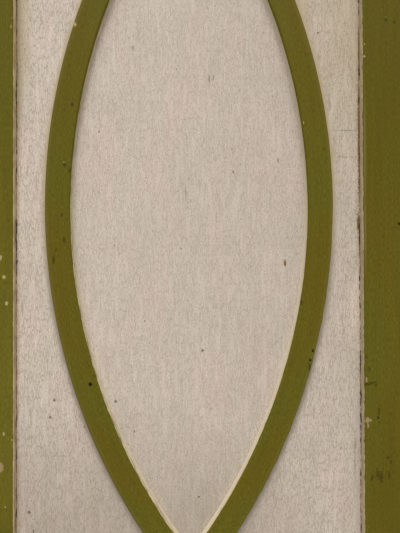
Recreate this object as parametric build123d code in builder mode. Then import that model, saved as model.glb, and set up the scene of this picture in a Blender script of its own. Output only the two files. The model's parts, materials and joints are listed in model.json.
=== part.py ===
from build123d import *
from math import acos, asin, cos, degrees, pi, radians, sin
import os

# Double partition door: two framed and panelled leaves in a rebated frame.
# Millimetres. X runs to the right, Y to the back, Z up. The origin is on the floor,
# half way between the jambs and in the middle of the frame's depth.

os.makedirs("parts", exist_ok=True)

# Leaf
leaf_width = 630.0
leaf_thickness = 40.0
stile_width = 105.0
bottom_rail_height = 200.0
lower_panel_height = 520.0
lock_rail_height = 140.0
upper_panel_height = 1010.0
top_rail_height = 111.0
arris = 1.2

# Gaps round the leaves
threshold_gap = 5.0
head_gap = 3.0
hinge_gap = 2.5
meeting_gap = 3.0
stop_gap = 1.0

# Panels and joinery
panel_thickness = 16.0
panel_recess = 9.0
panel_play = 0.2
panel_edge_gap = 2.0
groove_depth = 12.0
tenon_length = 70.0
mortise_end_gap = 2.0
haunch = 30.0
joint_play = 0.1
peg_radius = 4.5
peg_play = 0.05
peg_from_shoulder = 30.0
peg_from_tenon_edge = 18.0

# Pointed oval on the upper panels
lens_half_width = 174.0
lens_outer_radius = 718.0
band_width = 30.7
band_thickness = 8.5
band_arris = 1.0
band_spare_turn = 2.0

# Frame
frame_depth = 100.0
jamb_thickness = 30.0
stop_height = 13.0
jamb_housing = 10.0
threshold_height = 20.0
threshold_bevel_width = 9.0
threshold_bevel_drop = 5.0

# Architrave
architrave_width = 70.0
architrave_thickness = 18.0
architrave_margin = 14.0
bead_width = 10.0
bead_base = 8.0
cove_radius = 7.0
outer_round = 4.0

# Wall fixings
fixing_radius = 4.0
fixing_head_radius = 8.0
fixing_head_depth = 9.0
fixing_setback = 25.0
outer_fixing_span = 1500.0
inner_fixing_span = 500.0
fixing_mid_height = 1040.0
head_fixing_span = 700.0
threshold_fixing_span = 800.0

# Hinges
hinge_height = 100.0
hinge_from_top = 180.0
hinge_from_bottom = 230.0
flap_width = 31.0
flap_thickness = 2.5
knuckle_radius = 5.5
knuckle_count = 5
knuckle_gap = 0.3
pin_radius = 3.0
pin_play = 0.05
pin_forward = 7.0
pin_tip_height = 3.0
knuckle_clearance = 0.4
housing_play = 0.2

# Screws
screw_radius = 1.9
screw_head_radius = 4.0
screw_length = 26.0
short_screw_length = 14.0
screw_play = 0.1
flap_screw_span = 70.0
flap_screw_near = 9.0
flap_screw_far = 22.0

# Mortise lock in the right leaf
spindle_height = 955.0
backset = 52.0
spindle_width = 7.0
spindle_play = 0.1
spindle_reach = 26.0
case_depth = 74.0
case_thickness = 15.0
case_wall = 1.5
case_above_spindle = 30.0
case_below_spindle = 22.0
case_play = 0.3
forend_width = 22.0
forend_thickness = 3.0
forend_height = 130.0
forend_screw_span = 108.0
hub_radius = 6.8
hub_play = 0.1
bolt_throw = 15.5
bolt_height = 15.0
bolt_thickness = 10.0
bolt_play = 0.3
bolt_above_hub = 0.6
bolt_inset = 0.4
bolt_tail = 5.0
finger_width = 3.8
finger_tip_radius = 2.6
finger_thickness = 6.0
notch_play = 1.2
notch_roof_play = 0.9
rest_lean = 45.0

# Knobs and roses
knob_radius = 26.0
knob_reach = 56.0
knob_neck_radius = 9.0
knob_neck_length = 20.0
knob_rim_radius = 4.0
knob_start = 0.5
rose_radius = 25.0
rose_thickness = 5.0
rose_edge = 2.0
rose_play = 0.4
rose_screw_offset = 17.0
spindle_hole_radius = 8.0

# Strike plate in the left leaf
strike_height = 64.0
strike_width = 22.0
strike_thickness = 2.5
strike_play = 0.8
strike_pocket_depth = 18.0
strike_screw_span = 46.0

# Flush bolts of the left leaf
flush_plate_length = 180.0
flush_plate_width = 30.0
flush_plate_thickness = 3.0
flush_rod_radius = 5.0
flush_rod_play = 0.1
flush_rod_depth = 7.0
flush_guide_length = 12.0
flush_guide_width = 14.0
flush_guide_back = 2.0
flush_throw = 17.0
flush_rod_inset = 0.5
thumb_width = 8.0
thumb_length = 12.0
thumb_sunk = 0.6
thumb_play = 0.5
flush_screw_inset = 32.0
flush_screw_offset = 10.5

# Keeps
keep_length = 52.0
keep_width = 20.0
keep_thickness = 2.5
keep_play = 0.7
keep_hole_spare = 3.0
keep_screw_span = 36.0

# Levels and lines worked out from the sizes above
front = -frame_depth / 2
back = frame_depth / 2
leaf_back = front + leaf_thickness
leaf_middle = front + leaf_thickness / 2
stop_front = leaf_back + stop_gap
panel_front = front + panel_recess
panel_back = panel_front + panel_thickness
groove_front = panel_front - panel_play
groove_back = panel_back + panel_play
tenon_front = groove_front + joint_play
tenon_back = groove_back - joint_play

leaf_bottom = threshold_height + threshold_gap
lower_sight_bottom = leaf_bottom + bottom_rail_height
lower_sight_top = lower_sight_bottom + lower_panel_height
upper_sight_bottom = lower_sight_top + lock_rail_height
upper_sight_top = upper_sight_bottom + upper_panel_height
leaf_top = upper_sight_top + top_rail_height
head_line = leaf_top + head_gap
lens_height = (upper_sight_bottom + upper_sight_top) / 2

sight_half = leaf_width / 2 - stile_width
half_opening = leaf_width + meeting_gap / 2 + hinge_gap
jamb_back_line = half_opening - stop_height
meeting_edge = meeting_gap / 2

pin_y = front - pin_forward
knuckle_clear_y = pin_y + knuckle_radius + knuckle_clearance
knuckle_height = hinge_height / knuckle_count
hinge_heights = {
    "bottom": leaf_bottom + hinge_from_bottom,
    "middle": (leaf_bottom + hinge_from_bottom + leaf_top - hinge_from_top) / 2,
    "top": leaf_top - hinge_from_top,
}
screw_head_height = screw_head_radius - screw_radius

spindle_x = meeting_edge + backset
bolt_bottom = spindle_height + hub_radius + bolt_above_hub
bolt_middle = bolt_bottom + bolt_height / 2
finger_reach = bolt_throw / (2 * sin(radians(rest_lean)))
notch_x = spindle_x + bolt_throw / 2

sides = {"left": -1, "right": 1}
rails = {
    "bottom": (leaf_bottom, lower_sight_bottom, haunch, groove_depth),
    "lock": (lower_sight_top, upper_sight_bottom, groove_depth, groove_depth),
    "top": (upper_sight_top, leaf_top, groove_depth, haunch),
}


def save(piece, name):
    piece.part.label = name
    export_step(piece.part, f"parts/{name}.step")


def block(low, high, mode=Mode.ADD):
    """A square-edged block between two opposite corners."""
    middle = tuple((a + b) / 2 for a, b in zip(low, high))
    size = tuple(abs(b - a) for a, b in zip(low, high))
    with Locations(middle):
        Box(*size, mode=mode)


def seats(points, outward):
    """Screw seats: the plane of each head, looking out of the plate."""
    return [Plane(origin=point, z_dir=outward) for point in points]


def leaf_centre(side):
    return side * (meeting_edge + leaf_width / 2)


def peg_points(side, out):
    """Middle of each peg in the joints between the rails and one stile."""
    x = leaf_centre(side) + out * (sight_half + peg_from_shoulder)
    points = []
    for bottom, top, below, above in rails.values():
        points.append((x, leaf_middle, bottom + below + peg_from_tenon_edge))
        points.append((x, leaf_middle, top - above - peg_from_tenon_edge))
    return points


def flap_screws(wood_x, height):
    """Screw heads in a hinge flap: two near the knuckle, one far from it."""
    near = front + flap_screw_near
    far = front + flap_screw_far
    return [
        (wood_x, near, height - flap_screw_span / 2),
        (wood_x, far, height),
        (wood_x, near, height + flap_screw_span / 2),
    ]


def all_flap_screws(wood_x):
    return [point for height in hinge_heights.values() for point in flap_screws(wood_x, height)]


def drive(groups, length):
    """Countersunk screws, one solid at each seat."""
    with Locations(*groups):
        Cylinder(screw_radius, length, align=(Align.CENTER, Align.CENTER, Align.MAX))
        Cone(
            screw_radius,
            screw_head_radius,
            screw_head_height,
            align=(Align.CENTER, Align.CENTER, Align.MAX),
        )


def drill(groups, length):
    """Screw holes in the wood behind a plate."""
    with Locations(*groups):
        Cylinder(
            screw_radius + screw_play,
            length + screw_play,
            align=(Align.CENTER, Align.CENTER, Align.MAX),
            mode=Mode.SUBTRACT,
        )


def countersink(groups, thickness):
    """Countersunk holes through a plate."""
    with Locations(*groups):
        CounterSinkHole(
            screw_radius + screw_play,
            screw_head_radius + screw_play,
            depth=thickness,
            counter_sink_angle=90,
        )


# Screw seats of each plate
frame_hinge_seats = {
    side: seats(all_flap_screws(side * half_opening), (-side, 0, 0)) for side in sides.values()
}
leaf_hinge_seats = {
    side: seats(all_flap_screws(side * (half_opening - hinge_gap)), (side, 0, 0))
    for side in sides.values()
}
forend_seats = seats(
    [
        (meeting_edge, leaf_middle, spindle_height + end * forend_screw_span / 2)
        for end in (-1, 1)
    ],
    (-1, 0, 0),
)
strike_seats = seats(
    [
        (-meeting_edge, leaf_middle, bolt_middle + end * strike_screw_span / 2)
        for end in (-1, 1)
    ],
    (1, 0, 0),
)


def rose_seats(face, outward):
    """The two screws of a rose, level with the spindle's middle line."""
    return seats(
        [
            (spindle_x, face + outward * rose_thickness, spindle_height + end * rose_screw_offset)
            for end in (-1, 1)
        ],
        (0, outward, 0),
    )


def flush_screw_points(end, inward):
    """Two screw heads in a flush bolt's plate, one each side of the rod."""
    far = end + inward * (flush_plate_length - flush_screw_inset)
    near = end + inward * flush_screw_inset
    return [
        (-meeting_edge, leaf_middle + flush_screw_offset, near),
        (-meeting_edge, leaf_middle - flush_screw_offset, far),
    ]


flush_seats = seats(
    flush_screw_points(leaf_top, -1) + flush_screw_points(leaf_bottom, 1), (1, 0, 0)
)
flush_rod_x = -meeting_edge - flush_plate_thickness - flush_rod_depth
head_keep_seats = seats(
    [(flush_rod_x + end * keep_screw_span / 2, leaf_middle, head_line) for end in (-1, 1)],
    (0, 0, -1),
)
threshold_keep_seats = seats(
    [(flush_rod_x + end * keep_screw_span / 2, leaf_middle, threshold_height) for end in (-1, 1)],
    (0, 0, 1),
)

# Leaves


def make_stile(side, out):
    """A stile with its groove, blind mortises and peg holes; out is its edge of the leaf."""
    inner = leaf_centre(side) + out * sight_half
    outer = leaf_centre(side) + out * leaf_width / 2
    floor = inner + out * groove_depth
    with BuildPart() as stile:
        with BuildSketch(Plane.XY.offset(leaf_bottom)) as outline:
            with BuildLine():
                Polyline(
                    (inner, front),
                    (outer, front),
                    (outer, leaf_back),
                    (inner, leaf_back),
                    (inner, groove_back),
                    (floor, groove_back),
                    (floor, groove_front),
                    (inner, groove_front),
                    close=True,
                )
            make_face()
            fillet(outline.vertices().group_by(Axis.Y)[0], radius=arris)
            fillet(outline.vertices().group_by(Axis.Y)[-1], radius=arris)
        extrude(amount=leaf_top - leaf_bottom)
        for bottom, top, below, above in rails.values():
            block(
                (inner, groove_front, bottom + below - joint_play),
                (
                    inner + out * (tenon_length + mortise_end_gap),
                    groove_back,
                    top - above + joint_play,
                ),
                mode=Mode.SUBTRACT,
            )
        with Locations(*peg_points(side, out)):
            Cylinder(peg_radius + peg_play, leaf_thickness, rotation=(90, 0, 0), mode=Mode.SUBTRACT)
    return stile


def make_rail(side, name):
    """A rail with stub tongues, tenons and the grooves for its panels."""
    bottom, top, below, above = rails[name]
    centre = leaf_centre(side)
    stub = sight_half + groove_depth
    reach = sight_half + tenon_length
    with BuildPart() as rail:
        with BuildSketch(Plane.YZ.offset(centre - sight_half)) as outline:
            with Locations((leaf_middle, (bottom + top) / 2)):
                Rectangle(leaf_thickness, top - bottom)
            fillet(outline.vertices(), radius=arris)
        extrude(amount=2 * sight_half)
        block((centre - stub, tenon_front, bottom), (centre + stub, tenon_back, top))
        block(
            (centre - reach, tenon_front, bottom + below),
            (centre + reach, tenon_back, top - above),
        )
        if below == groove_depth:
            block(
                (centre - reach, groove_front, bottom),
                (centre + reach, groove_back, bottom + groove_depth),
                mode=Mode.SUBTRACT,
            )
        if above == groove_depth:
            block(
                (centre - reach, groove_front, top - groove_depth),
                (centre + reach, groove_back, top),
                mode=Mode.SUBTRACT,
            )
        with Locations(*peg_points(side, -1), *peg_points(side, 1)):
            Cylinder(peg_radius + peg_play, leaf_thickness, rotation=(90, 0, 0), mode=Mode.SUBTRACT)
    return rail


def make_panel(side, sight_bottom, sight_top):
    """A flat panel, loose in its grooves and standing on the rail below."""
    centre = leaf_centre(side)
    half = sight_half + groove_depth - panel_edge_gap
    with BuildPart() as panel:
        block(
            (centre - half, panel_front, sight_bottom - groove_depth + panel_play),
            (centre + half, panel_back, sight_top + groove_depth - panel_edge_gap),
        )
    return panel


def make_band(side, bulge):
    """One arc of the pointed oval: its section turned about the arc's centre, mitred at the tips."""
    offset = lens_outer_radius - lens_half_width
    half_turn = degrees(acos(offset / lens_outer_radius)) + band_spare_turn
    turn = radians(half_turn)
    middle = leaf_centre(side)
    centre = (middle - bulge * offset, panel_front, lens_height)
    start = Plane(
        origin=centre,
        x_dir=(bulge * cos(turn), 0, -sin(turn)),
        z_dir=(-sin(turn), 0, -bulge * cos(turn)),
    )
    with BuildPart() as band:
        with BuildSketch(start) as section:
            with Locations((lens_outer_radius - band_width / 2, band_thickness / 2)):
                Rectangle(band_width, band_thickness)
            chamfer(section.vertices().group_by(Axis.Y)[-1], length=band_arris)
        revolve(axis=Axis(centre, (0, -bulge, 0)), revolution_arc=2 * half_turn)
        split(bisect_by=Plane(origin=(middle, 0, 0), z_dir=(bulge, 0, 0)), keep=Keep.TOP)
    return band


for word, side in sides.items():
    blank = make_stile(side, side)
    outer = leaf_centre(side) + side * leaf_width / 2
    with BuildPart() as hinge_stile:
        add(blank)
        for height in hinge_heights.values():
            block(
                (outer, front, height - hinge_height / 2 - housing_play),
                (
                    outer - side * flap_thickness,
                    front + flap_width + housing_play,
                    height + hinge_height / 2 + housing_play,
                ),
                mode=Mode.SUBTRACT,
            )
        drill(leaf_hinge_seats[side], screw_length)
    save(hinge_stile, f"hinge_stile_{word}")

    for name in rails:
        save(make_rail(side, name), f"{name}_rail_{word}")
    save(make_panel(side, upper_sight_bottom, upper_sight_top), f"upper_panel_{word}")
    save(make_panel(side, lower_sight_bottom, lower_sight_top), f"lower_panel_{word}")
    save(make_band(side, -1), f"lens_band_{word}_left_arc")
    save(make_band(side, 1), f"lens_band_{word}_right_arc")

    with BuildPart() as pegs:
        with Locations(*peg_points(side, -1), *peg_points(side, 1)):
            Cylinder(peg_radius, leaf_thickness, rotation=(90, 0, 0))
    save(pegs, f"pegs_{word}")

# Meeting stile of the right leaf, cut for the lock
case_back_x = meeting_edge + forend_thickness + case_depth
case_top = spindle_height + case_above_spindle
case_bottom = spindle_height - case_below_spindle
case_half = case_thickness / 2

blank = make_stile(1, -1)
with BuildPart() as meeting_stile:
    add(blank)
    block(
        (
            meeting_edge,
            leaf_middle - forend_width / 2 - housing_play,
            spindle_height - forend_height / 2 - housing_play,
        ),
        (
            meeting_edge + forend_thickness,
            leaf_middle + forend_width / 2 + housing_play,
            spindle_height + forend_height / 2 + housing_play,
        ),
        mode=Mode.SUBTRACT,
    )
    block(
        (meeting_edge, leaf_middle - case_half - case_play, case_bottom - case_play),
        (case_back_x + case_play, leaf_middle + case_half + case_play, case_top + case_play),
        mode=Mode.SUBTRACT,
    )
    with Locations((spindle_x, leaf_middle, spindle_height)):
        Cylinder(spindle_hole_radius, leaf_thickness, rotation=(90, 0, 0), mode=Mode.SUBTRACT)
    drill(forend_seats, short_screw_length)
    drill(rose_seats(front, -1) + rose_seats(leaf_back, 1), short_screw_length)
save(meeting_stile, "meeting_stile_right")

# Meeting stile of the left leaf, cut for the strike plate and the flush bolts
blank = make_stile(-1, 1)
with BuildPart() as meeting_stile:
    add(blank)
    block(
        (
            -meeting_edge,
            leaf_middle - strike_width / 2 - housing_play,
            bolt_middle - strike_height / 2 - housing_play,
        ),
        (
            -meeting_edge - strike_thickness,
            leaf_middle + strike_width / 2 + housing_play,
            bolt_middle + strike_height / 2 + housing_play,
        ),
        mode=Mode.SUBTRACT,
    )
    block(
        (
            -meeting_edge,
            leaf_middle - bolt_thickness / 2 - strike_play,
            bolt_middle - bolt_height / 2 - strike_play,
        ),
        (
            -meeting_edge - strike_pocket_depth,
            leaf_middle + bolt_thickness / 2 + strike_play,
            bolt_middle + bolt_height / 2 + strike_play,
        ),
        mode=Mode.SUBTRACT,
    )
    for end, inward in ((leaf_top, -1), (leaf_bottom, 1)):
        inner_end = end + inward * (flush_plate_length + housing_play)
        block(
            (-meeting_edge, leaf_middle - flush_plate_width / 2 - housing_play, end),
            (
                -meeting_edge - flush_plate_thickness,
                leaf_middle + flush_plate_width / 2 + housing_play,
                inner_end,
            ),
            mode=Mode.SUBTRACT,
        )
        channel_back = flush_rod_x - flush_rod_radius - flush_guide_back - housing_play
        block(
            (-meeting_edge, leaf_middle - flush_guide_width / 2 - housing_play, end),
            (channel_back, leaf_middle + flush_guide_width / 2 + housing_play, inner_end),
            mode=Mode.SUBTRACT,
        )
    drill(strike_seats, short_screw_length)
    drill(flush_seats, screw_length)
save(meeting_stile, "meeting_stile_left")

# Frame


def jamb_outline(side):
    """Corners of a jamb's section: rebate in front, stop behind."""
    inner = side * half_opening
    outer = side * (half_opening + jamb_thickness)
    stop = side * jamb_back_line
    return [
        (inner, front),
        (outer, front),
        (outer, back),
        (stop, back),
        (stop, stop_front),
        (inner, stop_front),
    ]


def jamb_fixings(side, span):
    x = side * jamb_back_line
    return seats(
        [(x, fixing_setback, fixing_mid_height + end * span / 2) for end in (-1, 1)],
        (-side, 0, 0),
    )


for word, side in sides.items():
    with BuildPart() as jamb:
        with BuildSketch(Plane.XY):
            with BuildLine():
                Polyline(*jamb_outline(side), close=True)
            make_face()
        extrude(amount=head_line + jamb_housing)
        for height in hinge_heights.values():
            block(
                (side * half_opening, front, height - hinge_height / 2 - housing_play),
                (
                    side * (half_opening + flap_thickness),
                    front + flap_width + housing_play,
                    height + hinge_height / 2 + housing_play,
                ),
                mode=Mode.SUBTRACT,
            )
        drill(frame_hinge_seats[side], screw_length)
        with Locations(
            *jamb_fixings(side, outer_fixing_span), *jamb_fixings(side, inner_fixing_span)
        ):
            CounterBoreHole(fixing_radius, fixing_head_radius, fixing_head_depth)
    save(jamb, f"jamb_{word}")

head_top = head_line + jamb_thickness
with BuildPart() as head:
    block(
        (-half_opening - jamb_thickness, front, head_line),
        (half_opening + jamb_thickness, back, head_top),
    )
    block((-jamb_back_line, stop_front, head_line - stop_height), (jamb_back_line, back, head_line))
    for side in sides.values():
        with BuildSketch(Plane.XY.offset(head_line)):
            with BuildLine():
                Polyline(*jamb_outline(side), close=True)
            make_face()
        extrude(amount=jamb_housing, mode=Mode.SUBTRACT)
    block(
        (
            flush_rod_x - keep_length / 2 - housing_play,
            leaf_middle - keep_width / 2 - housing_play,
            head_line,
        ),
        (
            flush_rod_x + keep_length / 2 + housing_play,
            leaf_middle + keep_width / 2 + housing_play,
            head_line + keep_thickness,
        ),
        mode=Mode.SUBTRACT,
    )
    with Locations((flush_rod_x, leaf_middle, head_line)):
        Cylinder(
            flush_rod_radius + keep_play,
            flush_throw - head_gap + keep_hole_spare,
            align=(Align.CENTER, Align.CENTER, Align.MIN),
            mode=Mode.SUBTRACT,
        )
    drill(head_keep_seats, short_screw_length)
    with Locations(
        *seats(
            [
                (end * head_fixing_span / 2, fixing_setback, head_line - stop_height)
                for end in (-1, 1)
            ],
            (0, 0, -1),
        )
    ):
        CounterBoreHole(fixing_radius, fixing_head_radius, fixing_head_depth)
save(head, "head")

with BuildPart() as threshold:
    with BuildSketch(Plane.YZ.offset(-half_opening)):
        with BuildLine():
            Polyline(
                (front, 0),
                (back, 0),
                (back, threshold_height - threshold_bevel_drop),
                (back - threshold_bevel_width, threshold_height),
                (front + threshold_bevel_width, threshold_height),
                (front, threshold_height - threshold_bevel_drop),
                close=True,
            )
        make_face()
    extrude(amount=2 * half_opening)
    for side in sides.values():
        block(
            (side * jamb_back_line, stop_front, 0),
            (side * half_opening, back, threshold_height),
            mode=Mode.SUBTRACT,
        )
    block(
        (
            flush_rod_x - keep_length / 2 - housing_play,
            leaf_middle - keep_width / 2 - housing_play,
            threshold_height - keep_thickness,
        ),
        (
            flush_rod_x + keep_length / 2 + housing_play,
            leaf_middle + keep_width / 2 + housing_play,
            threshold_height,
        ),
        mode=Mode.SUBTRACT,
    )
    with Locations((flush_rod_x, leaf_middle, threshold_height)):
        Cylinder(
            flush_rod_radius + keep_play,
            flush_throw - threshold_gap + keep_hole_spare,
            align=(Align.CENTER, Align.CENTER, Align.MAX),
            mode=Mode.SUBTRACT,
        )
    drill(threshold_keep_seats, short_screw_length)
    with Locations(
        *seats(
            [
                (end * threshold_fixing_span / 2, fixing_setback, threshold_height)
                for end in (-1, 1)
            ],
            (0, 0, 1),
        )
    ):
        CounterBoreHole(fixing_radius, fixing_head_radius, fixing_head_depth)
save(threshold, "threshold")


def architrave_outline():
    """Section of the moulding: u outwards from its inner edge, t away from the wall."""
    cove_start = bead_width + cove_radius
    middle = cove_radius * (1 - cos(pi / 4))
    turn = outer_round * cos(pi / 4)
    top = architrave_thickness
    Line((0, 0), (0, bead_base))
    ThreePointArc(
        (0, bead_base), (bead_width / 2, bead_base + bead_width / 2), (bead_width, bead_base)
    )
    Line((bead_width, bead_base), (bead_width, top - cove_radius))
    ThreePointArc(
        (bead_width, top - cove_radius),
        (bead_width + middle, top - middle),
        (cove_start, top),
    )
    Line((cove_start, top), (architrave_width - outer_round, top))
    ThreePointArc(
        (architrave_width - outer_round, top),
        (architrave_width - outer_round + turn, top - outer_round + turn),
        (architrave_width, top - outer_round),
    )
    Line((architrave_width, top - outer_round), (architrave_width, 0))
    Line((architrave_width, 0), (0, 0))


def architrave_leg(side, wall, outward, inner):
    """An upright of the architrave, mitred at its top."""
    start = Plane(origin=(side * inner, wall, 0), x_dir=(side, 0, 0), z_dir=(0, 0, side * outward))
    corner = head_line + inner - half_opening
    mitre = Plane(origin=(side * inner, 0, corner), z_dir=(side, 0, -1))
    with BuildPart() as leg:
        with BuildSketch(start):
            with BuildLine():
                architrave_outline()
            make_face()
        extrude(amount=side * outward * (corner + architrave_width))
        split(bisect_by=mitre, keep=Keep.TOP)
    return leg


def architrave_head(wall, outward, inner):
    """The top of the architrave, mitred at both ends."""
    reach = inner + architrave_width
    corner = head_line + inner - half_opening
    start = Plane(origin=(-reach, wall, corner), x_dir=(0, 0, 1), z_dir=(-outward, 0, 0))
    with BuildPart() as top:
        with BuildSketch(start):
            with BuildLine():
                architrave_outline()
            make_face()
        extrude(amount=-outward * 2 * reach)
        for side in sides.values():
            mitre = Plane(origin=(side * inner, 0, corner), z_dir=(-side, 0, 1))
            split(bisect_by=mitre, keep=Keep.TOP)
    return top


faces = {
    "front": (front, -1, half_opening + architrave_margin),
    "back": (back, 1, jamb_back_line + architrave_margin),
}
for face, (wall, outward, inner) in faces.items():
    for word, side in sides.items():
        save(architrave_leg(side, wall, outward, inner), f"architrave_{face}_{word}")
    save(architrave_head(wall, outward, inner), f"architrave_{face}_head")

# Hinges


def make_hinge_half(side, height, wood_x, into, knuckles):
    """A flap let into the wood at wood_x, rolled round the pin at the given knuckles."""
    pin_x = side * (half_opening - hinge_gap / 2)
    low_end = height - hinge_height / 2
    with BuildPart() as half:
        block(
            (wood_x, knuckle_clear_y, low_end),
            (wood_x + into * flap_thickness, front + flap_width, low_end + hinge_height),
        )
        for knuckle in knuckles:
            low = low_end + knuckle * knuckle_height
            high = low + knuckle_height
            if knuckle > 0:
                low += knuckle_gap / 2
            if knuckle < knuckle_count - 1:
                high -= knuckle_gap / 2
            with BuildSketch(Plane.XY.offset(low)):
                with Locations((pin_x, pin_y)):
                    Circle(knuckle_radius)
                with Locations((wood_x + into * flap_thickness / 2, (pin_y + knuckle_clear_y) / 2)):
                    Rectangle(flap_thickness, knuckle_clear_y - pin_y)
            extrude(amount=high - low)
        with Locations((pin_x, pin_y, height)):
            Cylinder(pin_radius + pin_play, hinge_height, mode=Mode.SUBTRACT)
        countersink(seats(flap_screws(wood_x, height), (-into, 0, 0)), flap_thickness)
    return half


frame_knuckles = range(0, knuckle_count, 2)
leaf_knuckles = range(1, knuckle_count, 2)
for word, side in sides.items():
    for name, height in hinge_heights.items():
        frame_half = make_hinge_half(side, height, side * half_opening, side, frame_knuckles)
        save(frame_half, f"hinge_{word}_{name}_frame_half")
        leaf_edge = side * (half_opening - hinge_gap)
        leaf_half = make_hinge_half(side, height, leaf_edge, -side, leaf_knuckles)
        save(leaf_half, f"hinge_{word}_{name}_leaf_half")

with BuildPart() as hinge_pins:
    for side in sides.values():
        for height in hinge_heights.values():
            with Locations((side * (half_opening - hinge_gap / 2), pin_y, height)):
                Cylinder(pin_radius, hinge_height)
                with Locations((0, 0, hinge_height / 2)):
                    Cone(
                        knuckle_radius,
                        pin_radius,
                        pin_tip_height,
                        align=(Align.CENTER, Align.CENTER, Align.MIN),
                    )
                with Locations((0, 0, -hinge_height / 2)):
                    Cone(
                        pin_radius,
                        knuckle_radius,
                        pin_tip_height,
                        align=(Align.CENTER, Align.CENTER, Align.MAX),
                    )
save(hinge_pins, "hinge_pins")

# Lock
with BuildPart() as lock_case:
    block(
        (meeting_edge, leaf_middle - forend_width / 2, spindle_height - forend_height / 2),
        (
            meeting_edge + forend_thickness,
            leaf_middle + forend_width / 2,
            spindle_height + forend_height / 2,
        ),
    )
    block(
        (meeting_edge + forend_thickness, leaf_middle - case_half, case_bottom),
        (case_back_x, leaf_middle + case_half, case_top),
    )
    block(
        (
            meeting_edge + forend_thickness,
            leaf_middle - case_half + case_wall,
            case_bottom + case_wall,
        ),
        (case_back_x - case_wall, leaf_middle + case_half - case_wall, case_top - case_wall),
        mode=Mode.SUBTRACT,
    )
    block(
        (
            meeting_edge,
            leaf_middle - bolt_thickness / 2 - bolt_play,
            bolt_bottom - bolt_play,
        ),
        (
            meeting_edge + forend_thickness,
            leaf_middle + bolt_thickness / 2 + bolt_play,
            bolt_bottom + bolt_height + bolt_play,
        ),
        mode=Mode.SUBTRACT,
    )
    with Locations((spindle_x, leaf_middle, spindle_height)):
        Cylinder(hub_radius + hub_play, case_thickness, rotation=(90, 0, 0), mode=Mode.SUBTRACT)
    countersink(forend_seats, forend_thickness)
save(lock_case, "lock_case")

notch_half = finger_tip_radius + notch_play
notch_roof = spindle_height + finger_reach + finger_tip_radius + notch_roof_play
with BuildPart() as lock_bolt:
    block(
        (meeting_edge + bolt_inset, leaf_middle - bolt_thickness / 2, bolt_bottom),
        (
            notch_x + notch_half + bolt_tail,
            leaf_middle + bolt_thickness / 2,
            bolt_bottom + bolt_height,
        ),
    )
    block(
        (notch_x - notch_half, leaf_middle - bolt_thickness / 2, bolt_bottom),
        (notch_x + notch_half, leaf_middle + bolt_thickness / 2, notch_roof),
        mode=Mode.SUBTRACT,
    )
save(lock_bolt, "lock_bolt")

lean = radians(rest_lean)
with BuildPart() as lock_follower:
    with BuildSketch(Plane.XZ.offset(-leaf_middle)):
        with Locations((spindle_x, spindle_height)):
            Circle(hub_radius)
    extrude(amount=case_half, both=True)
    with BuildSketch(Plane.XZ.offset(-leaf_middle)):
        with Locations(
            (
                spindle_x + finger_reach / 2 * sin(lean),
                spindle_height + finger_reach / 2 * cos(lean),
            )
        ):
            Rectangle(finger_width, finger_reach, rotation=-rest_lean)
        with Locations(
            (spindle_x + finger_reach * sin(lean), spindle_height + finger_reach * cos(lean))
        ):
            Circle(finger_tip_radius)
    extrude(amount=finger_thickness / 2, both=True)
    with Locations((spindle_x, leaf_middle, spindle_height)):
        Box(
            spindle_width + 2 * spindle_play,
            case_thickness,
            spindle_width + 2 * spindle_play,
            mode=Mode.SUBTRACT,
        )
save(lock_follower, "lock_follower")

with BuildPart() as spindle:
    block(
        (
            spindle_x - spindle_width / 2,
            front - spindle_reach,
            spindle_height - spindle_width / 2,
        ),
        (
            spindle_x + spindle_width / 2,
            leaf_back + spindle_reach,
            spindle_height + spindle_width / 2,
        ),
    )
save(spindle, "spindle")

# Knobs: a straight neck, a hollow flare, a rounded rim and a domed crown


def make_knob(face, outward):
    """A turned knob; face is the leaf's face, outward the way it stands out."""
    base = Plane(origin=(spindle_x, face, spindle_height), x_dir=(1, 0, 0), z_dir=(0, 0, outward))
    flare_radius = knob_radius - knob_neck_radius - knob_rim_radius
    rim_x = knob_radius - knob_rim_radius
    flare_end = knob_neck_length + flare_radius
    rim_end = flare_end + knob_rim_radius
    crown_rise = knob_reach - rim_end
    crown_radius = (knob_radius**2 + crown_rise**2) / (2 * crown_rise)
    crown_half_turn = asin(knob_radius / crown_radius) / 2
    quarter = sin(pi / 4)
    with BuildPart() as knob:
        with BuildSketch(base):
            with BuildLine():
                Line((0, knob_start), (knob_neck_radius, knob_start))
                Line((knob_neck_radius, knob_start), (knob_neck_radius, knob_neck_length))
                ThreePointArc(
                    (knob_neck_radius, knob_neck_length),
                    (rim_x - flare_radius * quarter, knob_neck_length + flare_radius * quarter),
                    (rim_x, flare_end),
                )
                ThreePointArc(
                    (rim_x, flare_end),
                    (rim_x + knob_rim_radius * quarter, rim_end - knob_rim_radius * quarter),
                    (knob_radius, rim_end),
                )
                ThreePointArc(
                    (knob_radius, rim_end),
                    (
                        crown_radius * sin(crown_half_turn),
                        knob_reach - crown_radius * (1 - cos(crown_half_turn)),
                    ),
                    (0, knob_reach),
                )
                Line((0, knob_reach), (0, knob_start))
            make_face()
        revolve(axis=Axis((spindle_x, face, spindle_height), (0, 1, 0)))
        socket_half = spindle_width / 2 + spindle_play
        block(
            (spindle_x - socket_half, face, spindle_height - socket_half),
            (
                spindle_x + socket_half,
                face + outward * (spindle_reach + spindle_play),
                spindle_height + socket_half,
            ),
            mode=Mode.SUBTRACT,
        )
    return knob


save(make_knob(front, -1), "knob_front")
save(make_knob(leaf_back, 1), "knob_back")

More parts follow.
